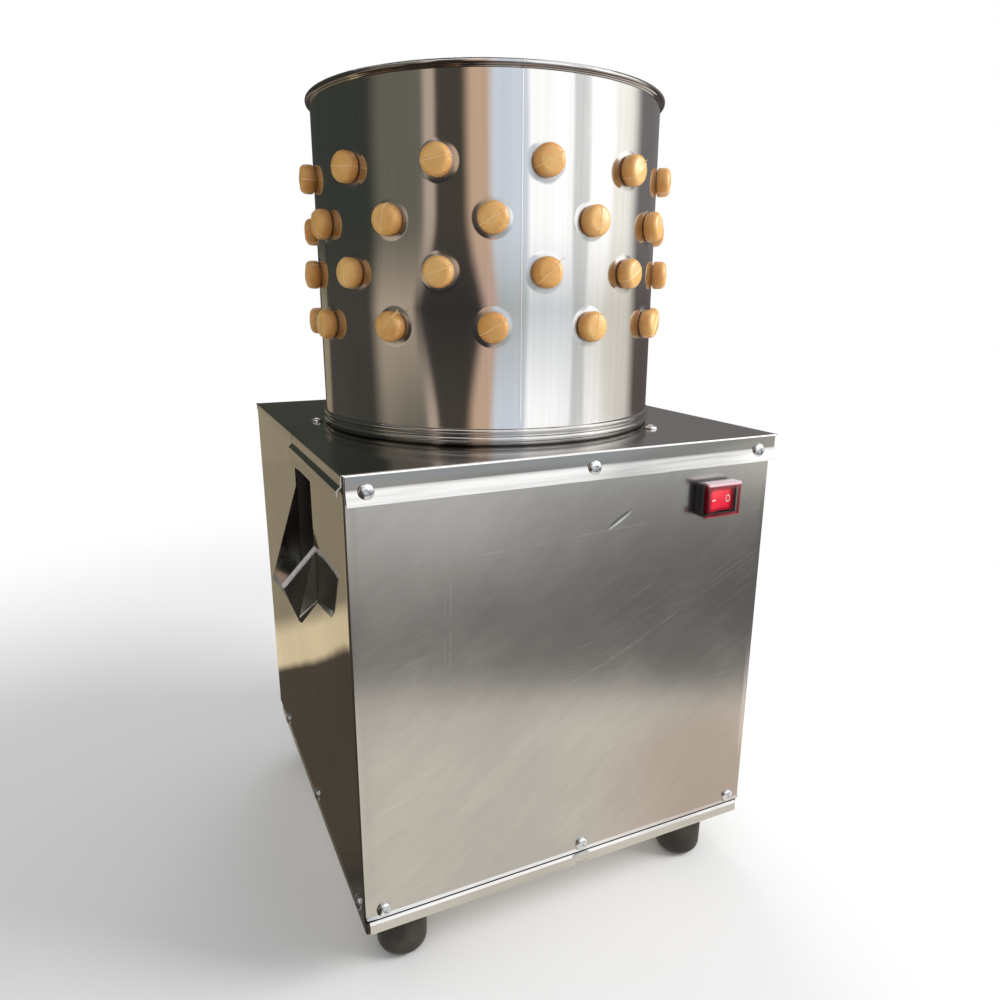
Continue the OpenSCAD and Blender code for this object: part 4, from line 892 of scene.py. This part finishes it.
matLook = {  # what the front shows of the floor, and what the left side shows
    "size": 3.9, "edge": (-0.644, -0.574), "edgeSlope": 0.41, "wobble": 0.08, "fade": (0.75, 1.75),
    "near": (0.80, 0.76, 0.67), "streak": 1.3, "dark": (0.24, 0.235, 0.22),
    "darkRight": (0.17, 0.165, 0.155), "darkAcross": (0.15, 0.6), "far": (0.85, 0.83, 0.79),
    "farRight": (0.42, 0.40, 0.385), "farAcross": (0.3, 0.9),
    "glint": (1.25, 1.2, 1.1), "glintAcross": (0.32, 0.36), "glintDeep": (-0.40, -0.36),
    "side": (0.19, 0.195), "sideDark": (0.085, 0.068, 0.05), "sideFront": (0, 0.1),
    "sideStripes": ((0.045, 0.04, 0.034), (0.09, 0.078, 0.064)), "sideBright": (0.80, 0.66, 0.42),
    "brightDeep": (0.37, 0.41), "sideTan": (0.31, 0.26, 0.175), "tanDeep": (0.50, 0.60),
}


def makeMat():
    look = matLook
    deselectAll()
    bpy.ops.mesh.primitive_plane_add(size=look["size"], location=(0, 0, mm))
    mat = settle("studioMat")
    spot = newFinish("studioMat")
    across, deep = spot.along("X"), spot.along("Y")
    wobble = (spot.noise(5, 2) - 0.5) * look["wobble"]
    near = (deep - across * look["edgeSlope"] + wobble).span(*look["edge"])
    beyond = (0 - deep).span(*look["fade"])
    far = across.span(*look["farAcross"]).blend(look["far"], look["farRight"])
    dark = across.span(*look["darkAcross"]).blend(look["dark"], look["darkRight"])
    streak = spot.noise(1, 2, stretch=(0.5, 0.08, 1), turn=(0, 0, 40)).span(0.35, 0.7)
    pale = (streak * 0.35).blend(look["near"], [c * look["streak"] for c in look["near"]])
    glint = across.span(*look["glintAcross"]) * deep.span(*look["glintDeep"])
    ahead = near.blend(beyond.blend(dark, far), glint.blend(pale, look["glint"]))
    stripes = spot.noise(1, 2, stretch=(0.6, 0.035, 1), turn=(0, 0, 25)).span(0.42, 0.6)
    aside = (0 - deep).span(*look["sideFront"]).blend(look["sideDark"], stripes.blend(*look["sideStripes"]))
    aside = (deep + wobble).span(*look["brightDeep"]).blend(aside, look["sideBright"])
    aside = (deep + wobble).span(*look["tanDeep"]).blend(aside, look["sideTan"])
    shade = (0 - across).span(*look["side"]).blend(ahead, aside)
    onlyReflected(mat, spot, shade)


for setUp in (setCamera, setWorld, makeFloor, hangLamps, makeCards, makeCeiling, makeMat):
    setUp()
print("camera and studio set")


# drum: one lathed wall with rolled rim and foot bead
drumSize = {
    "inner": 148.8, "outer": 150, "skirt": 395, "rings": (520, 640), "rim": 687.5, "rimRoll": 2.5,
    "rimGap": 1.5, "beads": (421.5, 427.5), "beadRoll": 2.3, "beadGap": 0.5, "beadSink": 0.1, "steps": 240}


def makeDrum():
    s = drumSize
    inner, outer, roll, bead, sink = (s[key] for key in ("inner", "outer", "rimRoll", "beadRoll", "beadSink"))
    rollAt = s["rim"] - roll
    outline = [(inner, height) for height in (s["skirt"], *s["rings"])]
    outline += arc(inner + roll, rollAt, roll, 180, -128, 22)
    outline += [(outer, rollAt - roll - s["rimGap"])]
    outline += [(outer, height) for height in reversed(s["rings"])]
    for height in reversed(s["beads"]):
        outline += [(outer, height + bead + s["beadGap"])]
        outline += arc(outer - sink, height, bead + sink, 84, -84, 10)
    outline += [(outer, s["beads"][0] - bead - s["beadGap"]), (outer, s["skirt"]), (inner, s["skirt"])]
    return lathe("drumShell", outline, s["steps"])


fit(makeDrum(), "cabinet", "polished_steel", steelDrum, "drum", smooth=50)
print("drum made")

# plucking fingers: moulded once, copied with their own turn
fingerSize = {
    "head": 11.5, "headThick": 11.1, "headRound": 4.6, "neck": 8.9, "collar": 4, "root": 8.7, "tip": 6.5,
    "tipRound": 3, "long": 75, "ribs": 6, "ribRise": 1, "rib": ((0, 0), (0.25, 0.8), (0.5, 1), (0.75, 0.8)),
    "crown": ((0, 0.6), (2.5, 0.52), (5, 0.25)), "rim": ((0.15, -5), (0, -1.4), (-1, -0.2)), "sides": 32,
    "seam": 0.42, "seamEnd": -0.6, "flash": 0.35, "threadAt": (-8, -5), "thread": (3.2, 0.5, -1.6)}


def makeFinger(name, grip, thread=False):
    s = fingerSize
    head, top, bend, tip, end = s["head"], -s["headThick"], s["headRound"], s["tipRound"], s["long"]
    outline = [(r, top - rise) for r, rise in s["crown"]]
    outline += arc(head - bend, top + bend, bend, -90, 0, 6)
    outline += [(head + out, z) for out, z in s["rim"]]
    outline += [(s["neck"], -0.1), (s["neck"], grip), (head - 1, grip + 0.1)]
    outline += [(head - 1.6, grip + s["collar"] * 0.7)]
    base = grip + s["collar"]
    step = (end - base - tip) / s["ribs"]
    for i in range(s["ribs"]):
        r = s["root"] + (s["tip"] - s["root"]) * i / s["ribs"]
        outline += [(r + s["ribRise"] * rise, base + step * (i + part)) for part, rise in s["rib"]]
    outline += arc(s["tip"] - tip, end - tip, tip, 0, 90, 4) + [(0, end)]
    finger = lathe(name, outline, s["sides"])
    onSeam = lambda p: at(p.y, 0) and p.z < 0.5
    onHead = lambda p: onSeam(p) and p.z < s["seamEnd"]
    roundOff(finger, both(onSeam), s["seam"], 2)  # mould line across the head
    pick(finger, "VERT", onHead)
    bpy.ops.transform.shrink_fatten(value=s["flash"] * mm)
    leave()
    if thread:  # a thread of flash that the mould left at the rim
        low, high = s["threadAt"]
        pick(finger, "VERT", lambda p: at(p.y, 0) and p.x > head - 0.2 and low < p.z < high)
        moveBy(s["thread"][0] / 2, 0, 0)
        extrudeBy(*s["thread"])
        bpy.ops.transform.resize(value=(0.5, 0.5, 0.5))
        leave()
    mark(finger, "seam", onHead)
    # painted shade on the head's flank, strongest next to the drum
    mark(finger, "flankShade", lambda p: 0.3 if p.z > 0 else max(0, 1 + p.z / s["headThick"]) ** 0.8)
    return finger


wallFingers = {
    "grip": 1.9, "count": 12, "seat": 150.3, "seatPlay": 0.4, "heightPlay": 0.6, "leanPlay": 1.2,
    "seamTurns": {  # mould-line angles that the photo shows, by finger number from the first one in view
        "finger_row_1": {0: 60, 1: 8, 2: 35, 11: 35}, "finger_row_2": {0: 48, 11: 70, 1: 60},
        "finger_row_3": {0: 60, 11: 12, 1: 5}, "finger_row_4": {0: 62, 11: 80, 1: 55}},
    "threads": {("finger_row_4", 0), ("finger_row_4", 1), ("finger_row_2", 0), ("finger_row_1", 11)}}
draw = random.Random(7)


def sway(limit):
    return draw.uniform(-limit, limit)


def makeRows():
    s = wallFingers
    plain = makeFinger("wallFinger", s["grip"])
    threaded = makeFinger("threadFinger", s["grip"], True)
    for number, (node, (height, stagger)) in enumerate(rows.items()):
        copies = []
        for i in range(s["count"]):
            own = s["seamTurns"][node].get(i, draw.uniform(0, 180))
            lean = turned("X", sway(s["leanPlay"])) @ turned("Y", sway(s["leanPlay"]))
            out = moved(s["seat"] + draw.uniform(0, s["seatPlay"]), 0, height + sway(s["heightPlay"]))
            around = turned("Z", firstFinger + stagger + fingerStep * i)
            place = around @ out @ turned("Y", -90) @ lean @ turned("Z", own)
            copies.append(copyTo(threaded if (node, i) in s["threads"] else plain, place))
        row = joinAll("fingerRow%d" % (number + 1), copies)
        fit(row, "cabinet", "finger_rubber", rubberFinger, node, smooth=45)
    bpy.data.objects.remove(plain)
    bpy.data.objects.remove(threaded)


tableFingers = {
    "grip": 5.1, "height": 409, "rings": ((12, 112, 0), (6, 66, 15))}  # count, radius, first angle


def makeTableFingers():
    s = tableFingers
    places = []
    for count, radius, first in s["rings"]:
        out = moved(radius, 0, s["height"])
        for i in range(count):
            places.append(turned("Z", first + 360 * i / count) @ out @ turned("Z", draw.uniform(0, 180)))
    return joinAll("tableFingers", spread(makeFinger("tableFinger", s["grip"]), places))


makeRows()
fit(makeTableFingers(), "spindle", "finger_rubber", rubberFinger, "turntable_fingers", smooth=45)
print("fingers made")

# lid: flat sheet, four folded flanges, drum hole
lidSize = {
    "x": 187.9, "y": 187.5, "top": 416, "sheet": 1, "gap": 2.5, "flange": 22, "short": 6, "notch": -16,
    "fold": 1.8, "hole": 150.4, "leftFront": 15, "leftRear": 26, "kick": 11, "kickOut": 2.7, "leftKick": 8,
    "leftKickOut": 3.2}


def makeLid():
    s = lidSize
    x, y, top, gap, notch = (s[key] for key in ("x", "y", "top", "gap", "notch"))
    lid = addSheet("lidSheet", [(-x, -y, top), (x, -y, top), (x, y, top), (-x, y, top)])
    sliceAt(lid, "x", gap - x, x - gap)
    sliceAt(lid, "y", gap - y, y - gap, notch, notch + gap)
    reach = lambda value, limit: abs(value) <= limit - gap + hair
    high = lambda p: p.z > top - 1
    onLeft = lambda p: at(p.x, -x) and reach(p.y, y)
    beforeNotch = lambda p: p.y < notch + hair
    for side in (-y, y):
        pull(lid, lambda p: at(p.y, side) and reach(p.x, x), 0, 0, -s["flange"])
    pull(lid, lambda p: at(p.x, x) and reach(p.y, y) and high(p), 0, 0, -s["flange"])
    pull(lid, lambda p: onLeft(p) and beforeNotch(p) and high(p), 0, 0, -s["leftFront"])
    lowCorner = lambda p: at(p.x, -x) and at(p.y, notch) and not high(p)
    shift(lid, lowCorner, 0, 0, s["leftFront"] - s["leftRear"])  # hangs lower towards its notch
    pull(lid, lambda p: onLeft(p) and p.y > notch + gap - hair and high(p), 0, 0, -s["short"])
    cleanUp(lid)
    sliceAt(lid, "z", top - s["kick"], top - s["leftKick"])
    lowFront = lambda p: at(p.y, -y) and p.z < top - s["kick"] - 1
    shift(lid, lowFront, 0, -s["kickOut"], 0)  # lower band of the front flange stands off
    lowLeft = lambda p: at(p.x, -x) and beforeNotch(p) and p.z < top - s["leftKick"] - 1
    shift(lid, lowLeft, -s["leftKickOut"], 0, 0)
    rim = lambda p: p.z > top - hair and (at(abs(p.x), x) or at(abs(p.y), y))
    sideways = lambda a, b: at(a.x, b.x) and reach(a.y, y) and reach(b.y, y)
    endways = lambda a, b: at(a.y, b.y) and reach(a.x, x) and reach(b.x, x)
    folded = lambda a, b: rim(a) and rim(b) and (sideways(a, b) or endways(a, b))
    roundOff(lid, folded, s["fold"], 9)
    thicken(lid, s["sheet"])
    cutAway(lid, addRod("drumHole", s["hole"], top - 10, top + 10, 240))
    return softEdges(lid, 0.2, 1, 60)


fit(makeLid(), "cabinet", "polished_steel", steelLid, "top_cover", smooth=11)
print("lid made")

# body wrap: front and sides folded from one sheet
wrapSize = {
    "left": -187, "right": 183, "front": -186.5, "rear": 185.5, "low": 61, "high": 415, "bend": 2.5,
    "sheet": 1, "roll": 2, "rollOut": 1.35, "strips": (-177, 176), "stripBack": 0.9,
    "cuts": {
        "chuteCut": ((-195, -79, 287), (-180, -15, 388)),
        "switchCut": ((106.3, -195, 354.8), (139.7, -180, 380.2))}}


def makeWrap():
    s = wrapSize
    left, right, front, low, high = (s[key] for key in ("left", "right", "front", "low", "high"))
    corners = [(left, front, low), (right, front, low), (right, front, high), (left, front, high)]
    wrap = addSheet("wrapSheet", corners)
    sliceAt(wrap, "x", *s["strips"])
    ends = lambda p: at(p.x, left) or at(p.x, right)
    shift(wrap, ends, 0, s["stripBack"], 0)  # narrow strips beside the corners lean back
    corner = front + s["stripBack"]
    for side in (left, right):
        pull(wrap, lambda p: at(p.x, side) and p.y < 0, 0, s["rear"] - corner, 0)
    cleanUp(wrap)
    roundOff(wrap, both(lambda p: ends(p) and at(p.y, corner)), s["bend"], 9)
    sliceAt(wrap, "z", low + s["roll"])
    sliceAt(wrap, "x", s["strips"][0] + 1, s["strips"][1] - 1)
    lowFront = lambda p: p.y < corner + hair and at(p.z, low)
    shift(wrap, lowFront, 0, -s["rollOut"], 0)  # lower edge of the front turned out
    thicken(wrap, s["sheet"])
    cutAway(wrap, *[addBox(name, *box) for name, box in s["cuts"].items()])
    return softEdges(wrap, 0.25, 1, 60)


fit(makeWrap(), "cabinet", "satin_steel", steelWrap, "body_wrap", smooth=12)

# base pan: floor sheet with upturned edges and closed corners
panSize = {
    "low": (-186, -185.5, 45), "high": (182, 185.5, 77), "sheet": 1.5, "corner": 3, "fold": 2.2,
    "step": (57.4, 55.4), "stepOut": 1.5}


def makePan():
    s = panSize
    pan = addBox("basePan", s["low"], s["high"])
    openUp(pan, lambda c, n: n.z > 0.9)
    roundOff(pan, lambda a, b: abs(a.z - b.z) > 1, s["corner"], 8)
    roundOff(pan, both(lambda p: at(p.z, s["low"][2])), s["fold"], 9)
    sliceAt(pan, "z", *s["step"])
    strip = lambda p: at(p.y, s["low"][1]) and p.z < s["step"][1] + hair
    shift(pan, strip, 0, -s["stepOut"], 0)  # the strip below the wrap stands forward
    thicken(pan, s["sheet"])
    return softEdges(pan, 0.25, 1, 60)


fit(makePan(), "cabinet", "satin_steel", steelStrip, "base_pan", smooth=12)
print("wrap and pan made")

# rear panel with pressed louvres
rearSize = {
    "left": -187, "right": 183, "face": 186.5, "sheet": 1, "low": 61, "high": 415, "ventX": (-85, 85),
    "ventLow": 130, "ventPitch": 12, "vents": 8, "ventWide": 70, "ventHigh": 4, "hood": 3.4, "hoodSide": 1.5,
    "hoodRise": 4.5, "hoodBend": 3.2, "hoodSheet": 0.8, "gland": (-120, 95, 8.2)}


def makeRear():
    s = rearSize
    face, wide, high = s["face"], s["ventWide"] / 2, s["ventHigh"] / 2
    panel = addBox("rearSheet", (s["left"], face - s["sheet"], s["low"]), (s["right"], face, s["high"]))
    slot = addBox("slot", (-wide, face - 5, -high), (wide, face + 5, high))
    side = wide + s["hoodSide"]
    hood = addBox("hood", (-side, face - 0.5, -high), (side, face + s["hood"], high + s["hoodRise"]))
    roundOff(hood, both(lambda p: p.y > face + 1 and p.z > 0), s["hoodBend"], 5)
    openUp(hood, lambda c, n: n.y < -0.9 or n.z < -0.9)
    thicken(hood, s["hoodSheet"])
    heights = [s["ventLow"] + i * s["ventPitch"] for i in range(s["vents"])]
    places = [moved(x, 0, z) for x in s["ventX"] for z in heights]
    slots, hoods = spread(slot, places), spread(hood, places)
    x, z, radius = s["gland"]
    hole = addRod("glandHole", radius, -20, 20)
    hole.data.transform(moved(x, face, z) @ turned("X", 90))
    cutAway(panel, joinAll("slots", slots), hole)
    softEdges(panel, 0.2, 1, 60)
    return joinAll("rearSheet", [panel] + hoods)


fit(makeRear(), "cabinet", "satin_steel", steelRear, "rear_panel")
print("rear panel made")

# chute spout: floor, two cheeks, folded hem with two ridges
spoutSize = {
    "wall": -187, "front": -80, "rear": -14, "sheet": 1.2, "floor": 287, "lip": (-203, 273), "frontTop": 335,
    "crease": 3, "fold": 2, "frontEnd": (-214.6, 306.3), "rearTop": 370, "rearEnd": (-212.5, 289),
    "hemWide": 6, "hemThick": 2.4, "groove": 0.7, "grooveDeep": 1.1}


def makeSpout():
    s = spoutSize
    wall, front, rear, floor, top = (s[key] for key in ("wall", "front", "rear", "floor", "frontTop"))
    (lipX, lipZ), (endX, endZ), (rearX, rearZ) = s["lip"], s["frontEnd"], s["rearEnd"]
    foot = lambda y: (wall, y, floor)
    lip = lambda y: (lipX, y, lipZ)
    base = addSheet("spoutSheet", [foot(front), lip(front), lip(rear), foot(rear)])
    near = addSheet("nearCheek", [foot(front), (wall, front, top), (endX, front, endZ), lip(front)])
    atLip = lambda p: at(p.x, lipX) and at(p.z, lipZ) and at(p.y, front)
    pick(near, "VERT", lambda p: atLip(p) or at(p.z, top))
    bpy.ops.mesh.vert_connect()
    leave()
    far = addSheet("rearCheek", [foot(rear), lip(rear), (rearX, rear, rearZ), (wall, rear, s["rearTop"])])
    spout = cleanUp(joinAll("spoutSheet", [base, near, far]))
    shift(spout, atLip, 0, s["crease"], 0)  # the near cheek is creased from its top to the lip
    onFloor = lambda p: abs((p.z - floor) * (lipX - wall) - (p.x - wall) * (lipZ - floor)) < 1
    roundOff(spout, lambda a, b: onFloor(a) and onFloor(b) and abs(a.y - b.y) < 5, s["fold"], 4)
    pick(spout, "FACE", lambda c, n: True)
    bpy.ops.mesh.normals_make_consistent(inside=False)
    leave()
    thicken(spout, s["sheet"])
    length = math.hypot(wall - endX, top - endZ)
    slope = math.degrees(math.atan2(top - endZ, wall - endX))
    hem = addBox("hem", (0, s["sheet"] - s["hemWide"], -s["hemThick"]), (length, s["sheet"], 0))
    middle = s["sheet"] - s["hemWide"] / 2
    sliceAt(hem, "y", middle - s["groove"], middle + s["groove"])
    between = lambda c, n: n.z > 0.9 and abs(c.y - middle) < s["groove"]
    shift(hem, between, 0, 0, -s["grooveDeep"], "FACE")  # groove between the hem's two ridges
    softEdges(hem, 0.6, 3, 50)
    hem.data.transform(moved(endX, front, endZ) @ turned("Y", -slope))
    return softEdges(joinAll("spoutSheet", [spout, hem]), 0.15, 1, 70)


fit(makeSpout(), "cabinet", "polished_steel", steelSpout, "chute_spout", smooth=15)
print("spout made")

# pan-head screws with cross recess
screwSize = {
    "head": 5.8, "high": 3.4, "brim": 0.7, "dome": (0, 0.25, 0.5, 0.75, 1.0, 1.25, 1.45), "shank": 2.4,
    "point": 0.6, "recess": 2.8, "arm": 0.65, "deep": 1.6, "armTaper": (0.55, 0.7, 1)}


def makeScrew(long):
    s = screwSize
    head, high, brim, shank, point = (s[key] for key in ("head", "high", "brim", "shank", "point"))
    outline = [(head * math.sin(t), brim + (high - brim) * math.cos(t)) for t in s["dome"]]
    outline += [(head, 0.5), (head - 0.1, 0.1), (head - 0.3, 0)]
    outline += [(shank, 0), (shank, point - long), (shank - point, -long), (0, -long)]
    screw = lathe("panScrew", outline, 40)
    for turn in (0, 90):
        arm = addBox("arm", (-s["recess"], -s["arm"], high - s["deep"]), (s["recess"], s["arm"], high + 1))
        shrink(arm, lambda p: p.z < high, s["armTaper"])
        arm.data.transform(turned("Z", turn))
        cutAway(screw, arm)
    return softEdges(screw, 0.12, 2, 50)


screwPlaces = {
    "across": (-171.5, 6.5, 167.5), "along": (-171, -21, 129), "left": -187, "right": 183,
    "lid": (187.5, 403.5), "base": (186.5, 67), "top": (160, 416), "topAngles": (165, 58, -49)}


def frontAndRear(face, height):
    front = [moved(x, -face, height) @ turned("X", 90) for x in screwPlaces["across"]]
    return front + [moved(x, face, height) @ turned("X", -90) for x in screwPlaces["across"]]


def leftAndRight(height):
    left = [moved(screwPlaces["left"], y, height) @ turned("Y", -90) for y in screwPlaces["along"]]
    return left + [moved(screwPlaces["right"], y, height) @ turned("Y", 90) for y in screwPlaces["along"]]


def besideDrum(radius, height):
    return [turned("Z", angle) @ moved(radius, 0, height) for angle in screwPlaces["topAngles"]]


screws = {  # places, length under the head
    "lid": (frontAndRear(*screwPlaces["lid"]), 9.5),
    "base": (frontAndRear(*screwPlaces["base"]) + leftAndRight(screwPlaces["base"][1]), 8.5),
    "bracket": (besideDrum(*screwPlaces["top"]), 5),
}
for name, (places, long) in screws.items():
    copies = spread(makeScrew(long), [place @ turned("Z", draw.uniform(0, 90)) for place in places])
    fit(joinAll(name + "Screws", copies), "cabinet", "screw_steel", steelScrew, name + "_screws")
print("screws made")

# rubber feet
footSize = {
    "radius": 21.5, "high": 45, "round": 10, "top": 19.5, "shoulder": ((-1, 0), (0, 0.8), (0.9, 4)),
    "band": 14, "bandWide": 0.8, "pit": ((5, 0), (4, 0.8), (0, 0.8)),
    "places": [(-148.5, -155), (-148.5, 155), (137, -155), (137, 155)]}


def makeFoot():
    s = footSize
    radius, high, bend = s["radius"], s["high"], s["round"]
    outline = [(0, high)] + [(s["top"] + out, high - drop) for out, drop in s["shoulder"]]
    outline += [(radius - 0.3, high - 8), (radius, high - s["band"])]
    outline += arc(radius - bend - 0.5, bend, bend, 0, -90, 9) + [*s["pit"]]
    foot = lathe("foot", outline, 64)
    onBand = lambda a, b: at(a.z, b.z) and abs(a.z - high + s["band"]) < 0.1
    roundOff(foot, onBand, s["bandWide"], 2)
    return foot


places = [moved(x, y, 0) @ turned("Z", draw.uniform(0, 90)) for x, y in footSize["places"]]
feet = joinAll("rubberFeet", spread(makeFoot(), places))
fit(feet, "cabinet", "foot_rubber", rubberFoot, "rubber_feet")
print("feet made")

# rocker switch: frame, rocker, marks, clear boot
switchSize = {
    "wall": -186.5, "proud": 9, "wide": 36, "high": 28, "corner": 3, "lip": 2.5, "floor": 0.4, "deep": 22,
    "rearLess": 1.5, "tabs": (-8, 8), "tab": (3, 8, 0.4), "pivot": -190.5, "tilt": 6}
switchPlace = moved(switchAt[0], 0, switchAt[1])


def makeSwitchFrame():
    s = switchSize
    w, h, wall = s["wide"] / 2, s["high"] / 2, s["wall"]
    bezel = addBox("switchFrame", (-w, wall - s["proud"], -h), (w, wall, h))
    roundOff(bezel, lambda a, b: abs(a.y - b.y) > 1, s["corner"], 4)
    pick(bezel, "FACE", lambda c, n: n.y < -0.9)
    bpy.ops.mesh.inset(thickness=s["lip"] * mm)
    extrudeBy(0, s["proud"] - s["floor"], 0)
    leave()
    softEdges(bezel, 0.7, 3, 50)
    end, less = wall + s["deep"], s["rearLess"]
    rear = addBox("switchRear", (less - w, wall - 0.3, less - h), (w - less, end, h - less))
    softEdges(rear, 0.8, 2)
    wide, long, thick = s["tab"]
    tabs = [addBox("tab", (x - wide, end - 0.5, -thick), (x + wide, end + long, thick)) for x in s["tabs"]]
    switch = joinAll("switchFrame", [bezel, rear] + tabs)
    switch.data.transform(switchPlace)
    return switch


rockerSize = {
    "low": (-14.5, -7, -10.5), "high": (14.5, 1, 10.5), "dish": 2, "back": 1.4, "edge": 1.1, "valley": 3}


def makeRocker():
    s = rockerSize
    rocker = addBox("switchRocker", s["low"], s["high"])
    sliceAt(rocker, "x", 0)
    shift(rocker, lambda p: at(p.x, 0) and p.y < -6, 0, s["dish"], 0)
    shift(rocker, lambda p: at(p.x, 0) and p.y > 0, 0, s["back"], 0)
    softEdges(rocker, s["edge"], 4, 50)
    roundOff(rocker, both(lambda p: at(p.x, 0) and p.y < -4.5), s["valley"], 5)
    return rocker


markSize = {
    "place": 8, "slope": 7.9, "barLow": (-2.2, -0.16, -0.5), "barHigh": (2.2, 0.2, 0.5), "barAt": -6.15,
    "ring": 2.3, "ringThick": 0.5, "ringStretch": (0.8, 1.15, 0.45, 1), "ringAt": -6.0}


def makeMarks():
    s = markSize
    bar = addBox("rockerMarks", s["barLow"], s["barHigh"])
    softEdges(bar, 0.12, 2)
    bar.data.transform(moved(-s["place"], s["barAt"], 0) @ turned("Z", s["slope"]))
    deselectAll()
    bpy.ops.mesh.primitive_torus_add(
        major_radius=s["ring"] * mm, minor_radius=s["ringThick"] * mm, major_segments=40, minor_segments=10)
    ring = settle("ring")
    upright = turned("X", 90) @ Matrix.Diagonal(s["ringStretch"])
    ring.data.transform(moved(s["place"], s["ringAt"], 0) @ turned("Z", -s["slope"]) @ upright)
    return joinAll("rockerMarks", [bar, ring])


bootSize = {"rise": 6, "sheet": 0.8, "frontRound": 3.4, "sideRound": 2.6}


def makeBoot():
    s, frameSize = bootSize, switchSize
    w, h = frameSize["wide"] / 2 + s["sheet"], frameSize["high"] / 2 + s["sheet"]
    front = frameSize["wall"] - frameSize["proud"] - s["rise"]
    boot = addBox("clearBoot", (-w, front, -h), (w, frameSize["wall"], h))
    openUp(boot, lambda c, n: n.y > 0.9)
    roundOff(boot, both(lambda p: at(p.y, front)), s["frontRound"], 5)
    roundOff(boot, lambda a, b: abs(a.y - b.y) > 4, s["sideRound"], 4)
    thicken(boot, s["sheet"])
    boot.data.transform(switchPlace)
    return boot


fit(makeSwitchFrame(), "cabinet", "black_plastic", finishes["black_plastic"], "switch_housing")
pivot = moved(switchAt[0], switchSize["pivot"], switchAt[1]) @ turned("Z", switchSize["tilt"])
rocker, marks = makeRocker(), makeMarks()
rocker.data.transform(pivot)
marks.data.transform(pivot)
fit(rocker, "rocker", "rocker_red", finishes["rocker_red"], "switch_rocker")
fit(marks, "rocker", "clear_boot", mouldedPlastic("whiteMark", (0.82, 0.82, 0.8), 0.5))
boot = fit(makeBoot(), "cabinet", "clear_boot", finishes["clear_boot"], "switch_boot")
boot.visible_shadow = False
print("switch made")

# turntable plate with a rolled edge
tableSize = {"bore": 12.6, "edge": 142, "round": 1, "low": 409, "high": 414, "rings": (60, 110), "steps": 160}


def makeTable():
    s = tableSize
    bore, low, high, bend = s["bore"], s["low"], s["high"], s["round"]
    outline = [(bore, low)] + [(r, high) for r in (bore, *s["rings"])]
    outline += arc(s["edge"] - bend, high - bend, bend, 90, 0, 4)
    outline += arc(s["edge"] - bend, low + bend, bend, 0, -90, 4)
    outline += [(r, low) for r in (*reversed(s["rings"]), bore)]
    return lathe("turntablePlate", outline, s["steps"])


fit(makeTable(), "spindle", "inner_steel", finishes["inner_steel"], "turntable_plate")

# CAD nodes that stay in view take the finish of their slot
for row in frame["record"]["subparts"]:
    node = frame["nodes"][row["node"]]
    if not node.hide_render:
        node.data.materials.clear()
        node.data.materials.append(finishes[row["material_slot"]])
print("CAD nodes dressed")

low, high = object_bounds()
{"cad": [list(cadLow), list(cadHigh)], "visual": [list(low), list(high)]}
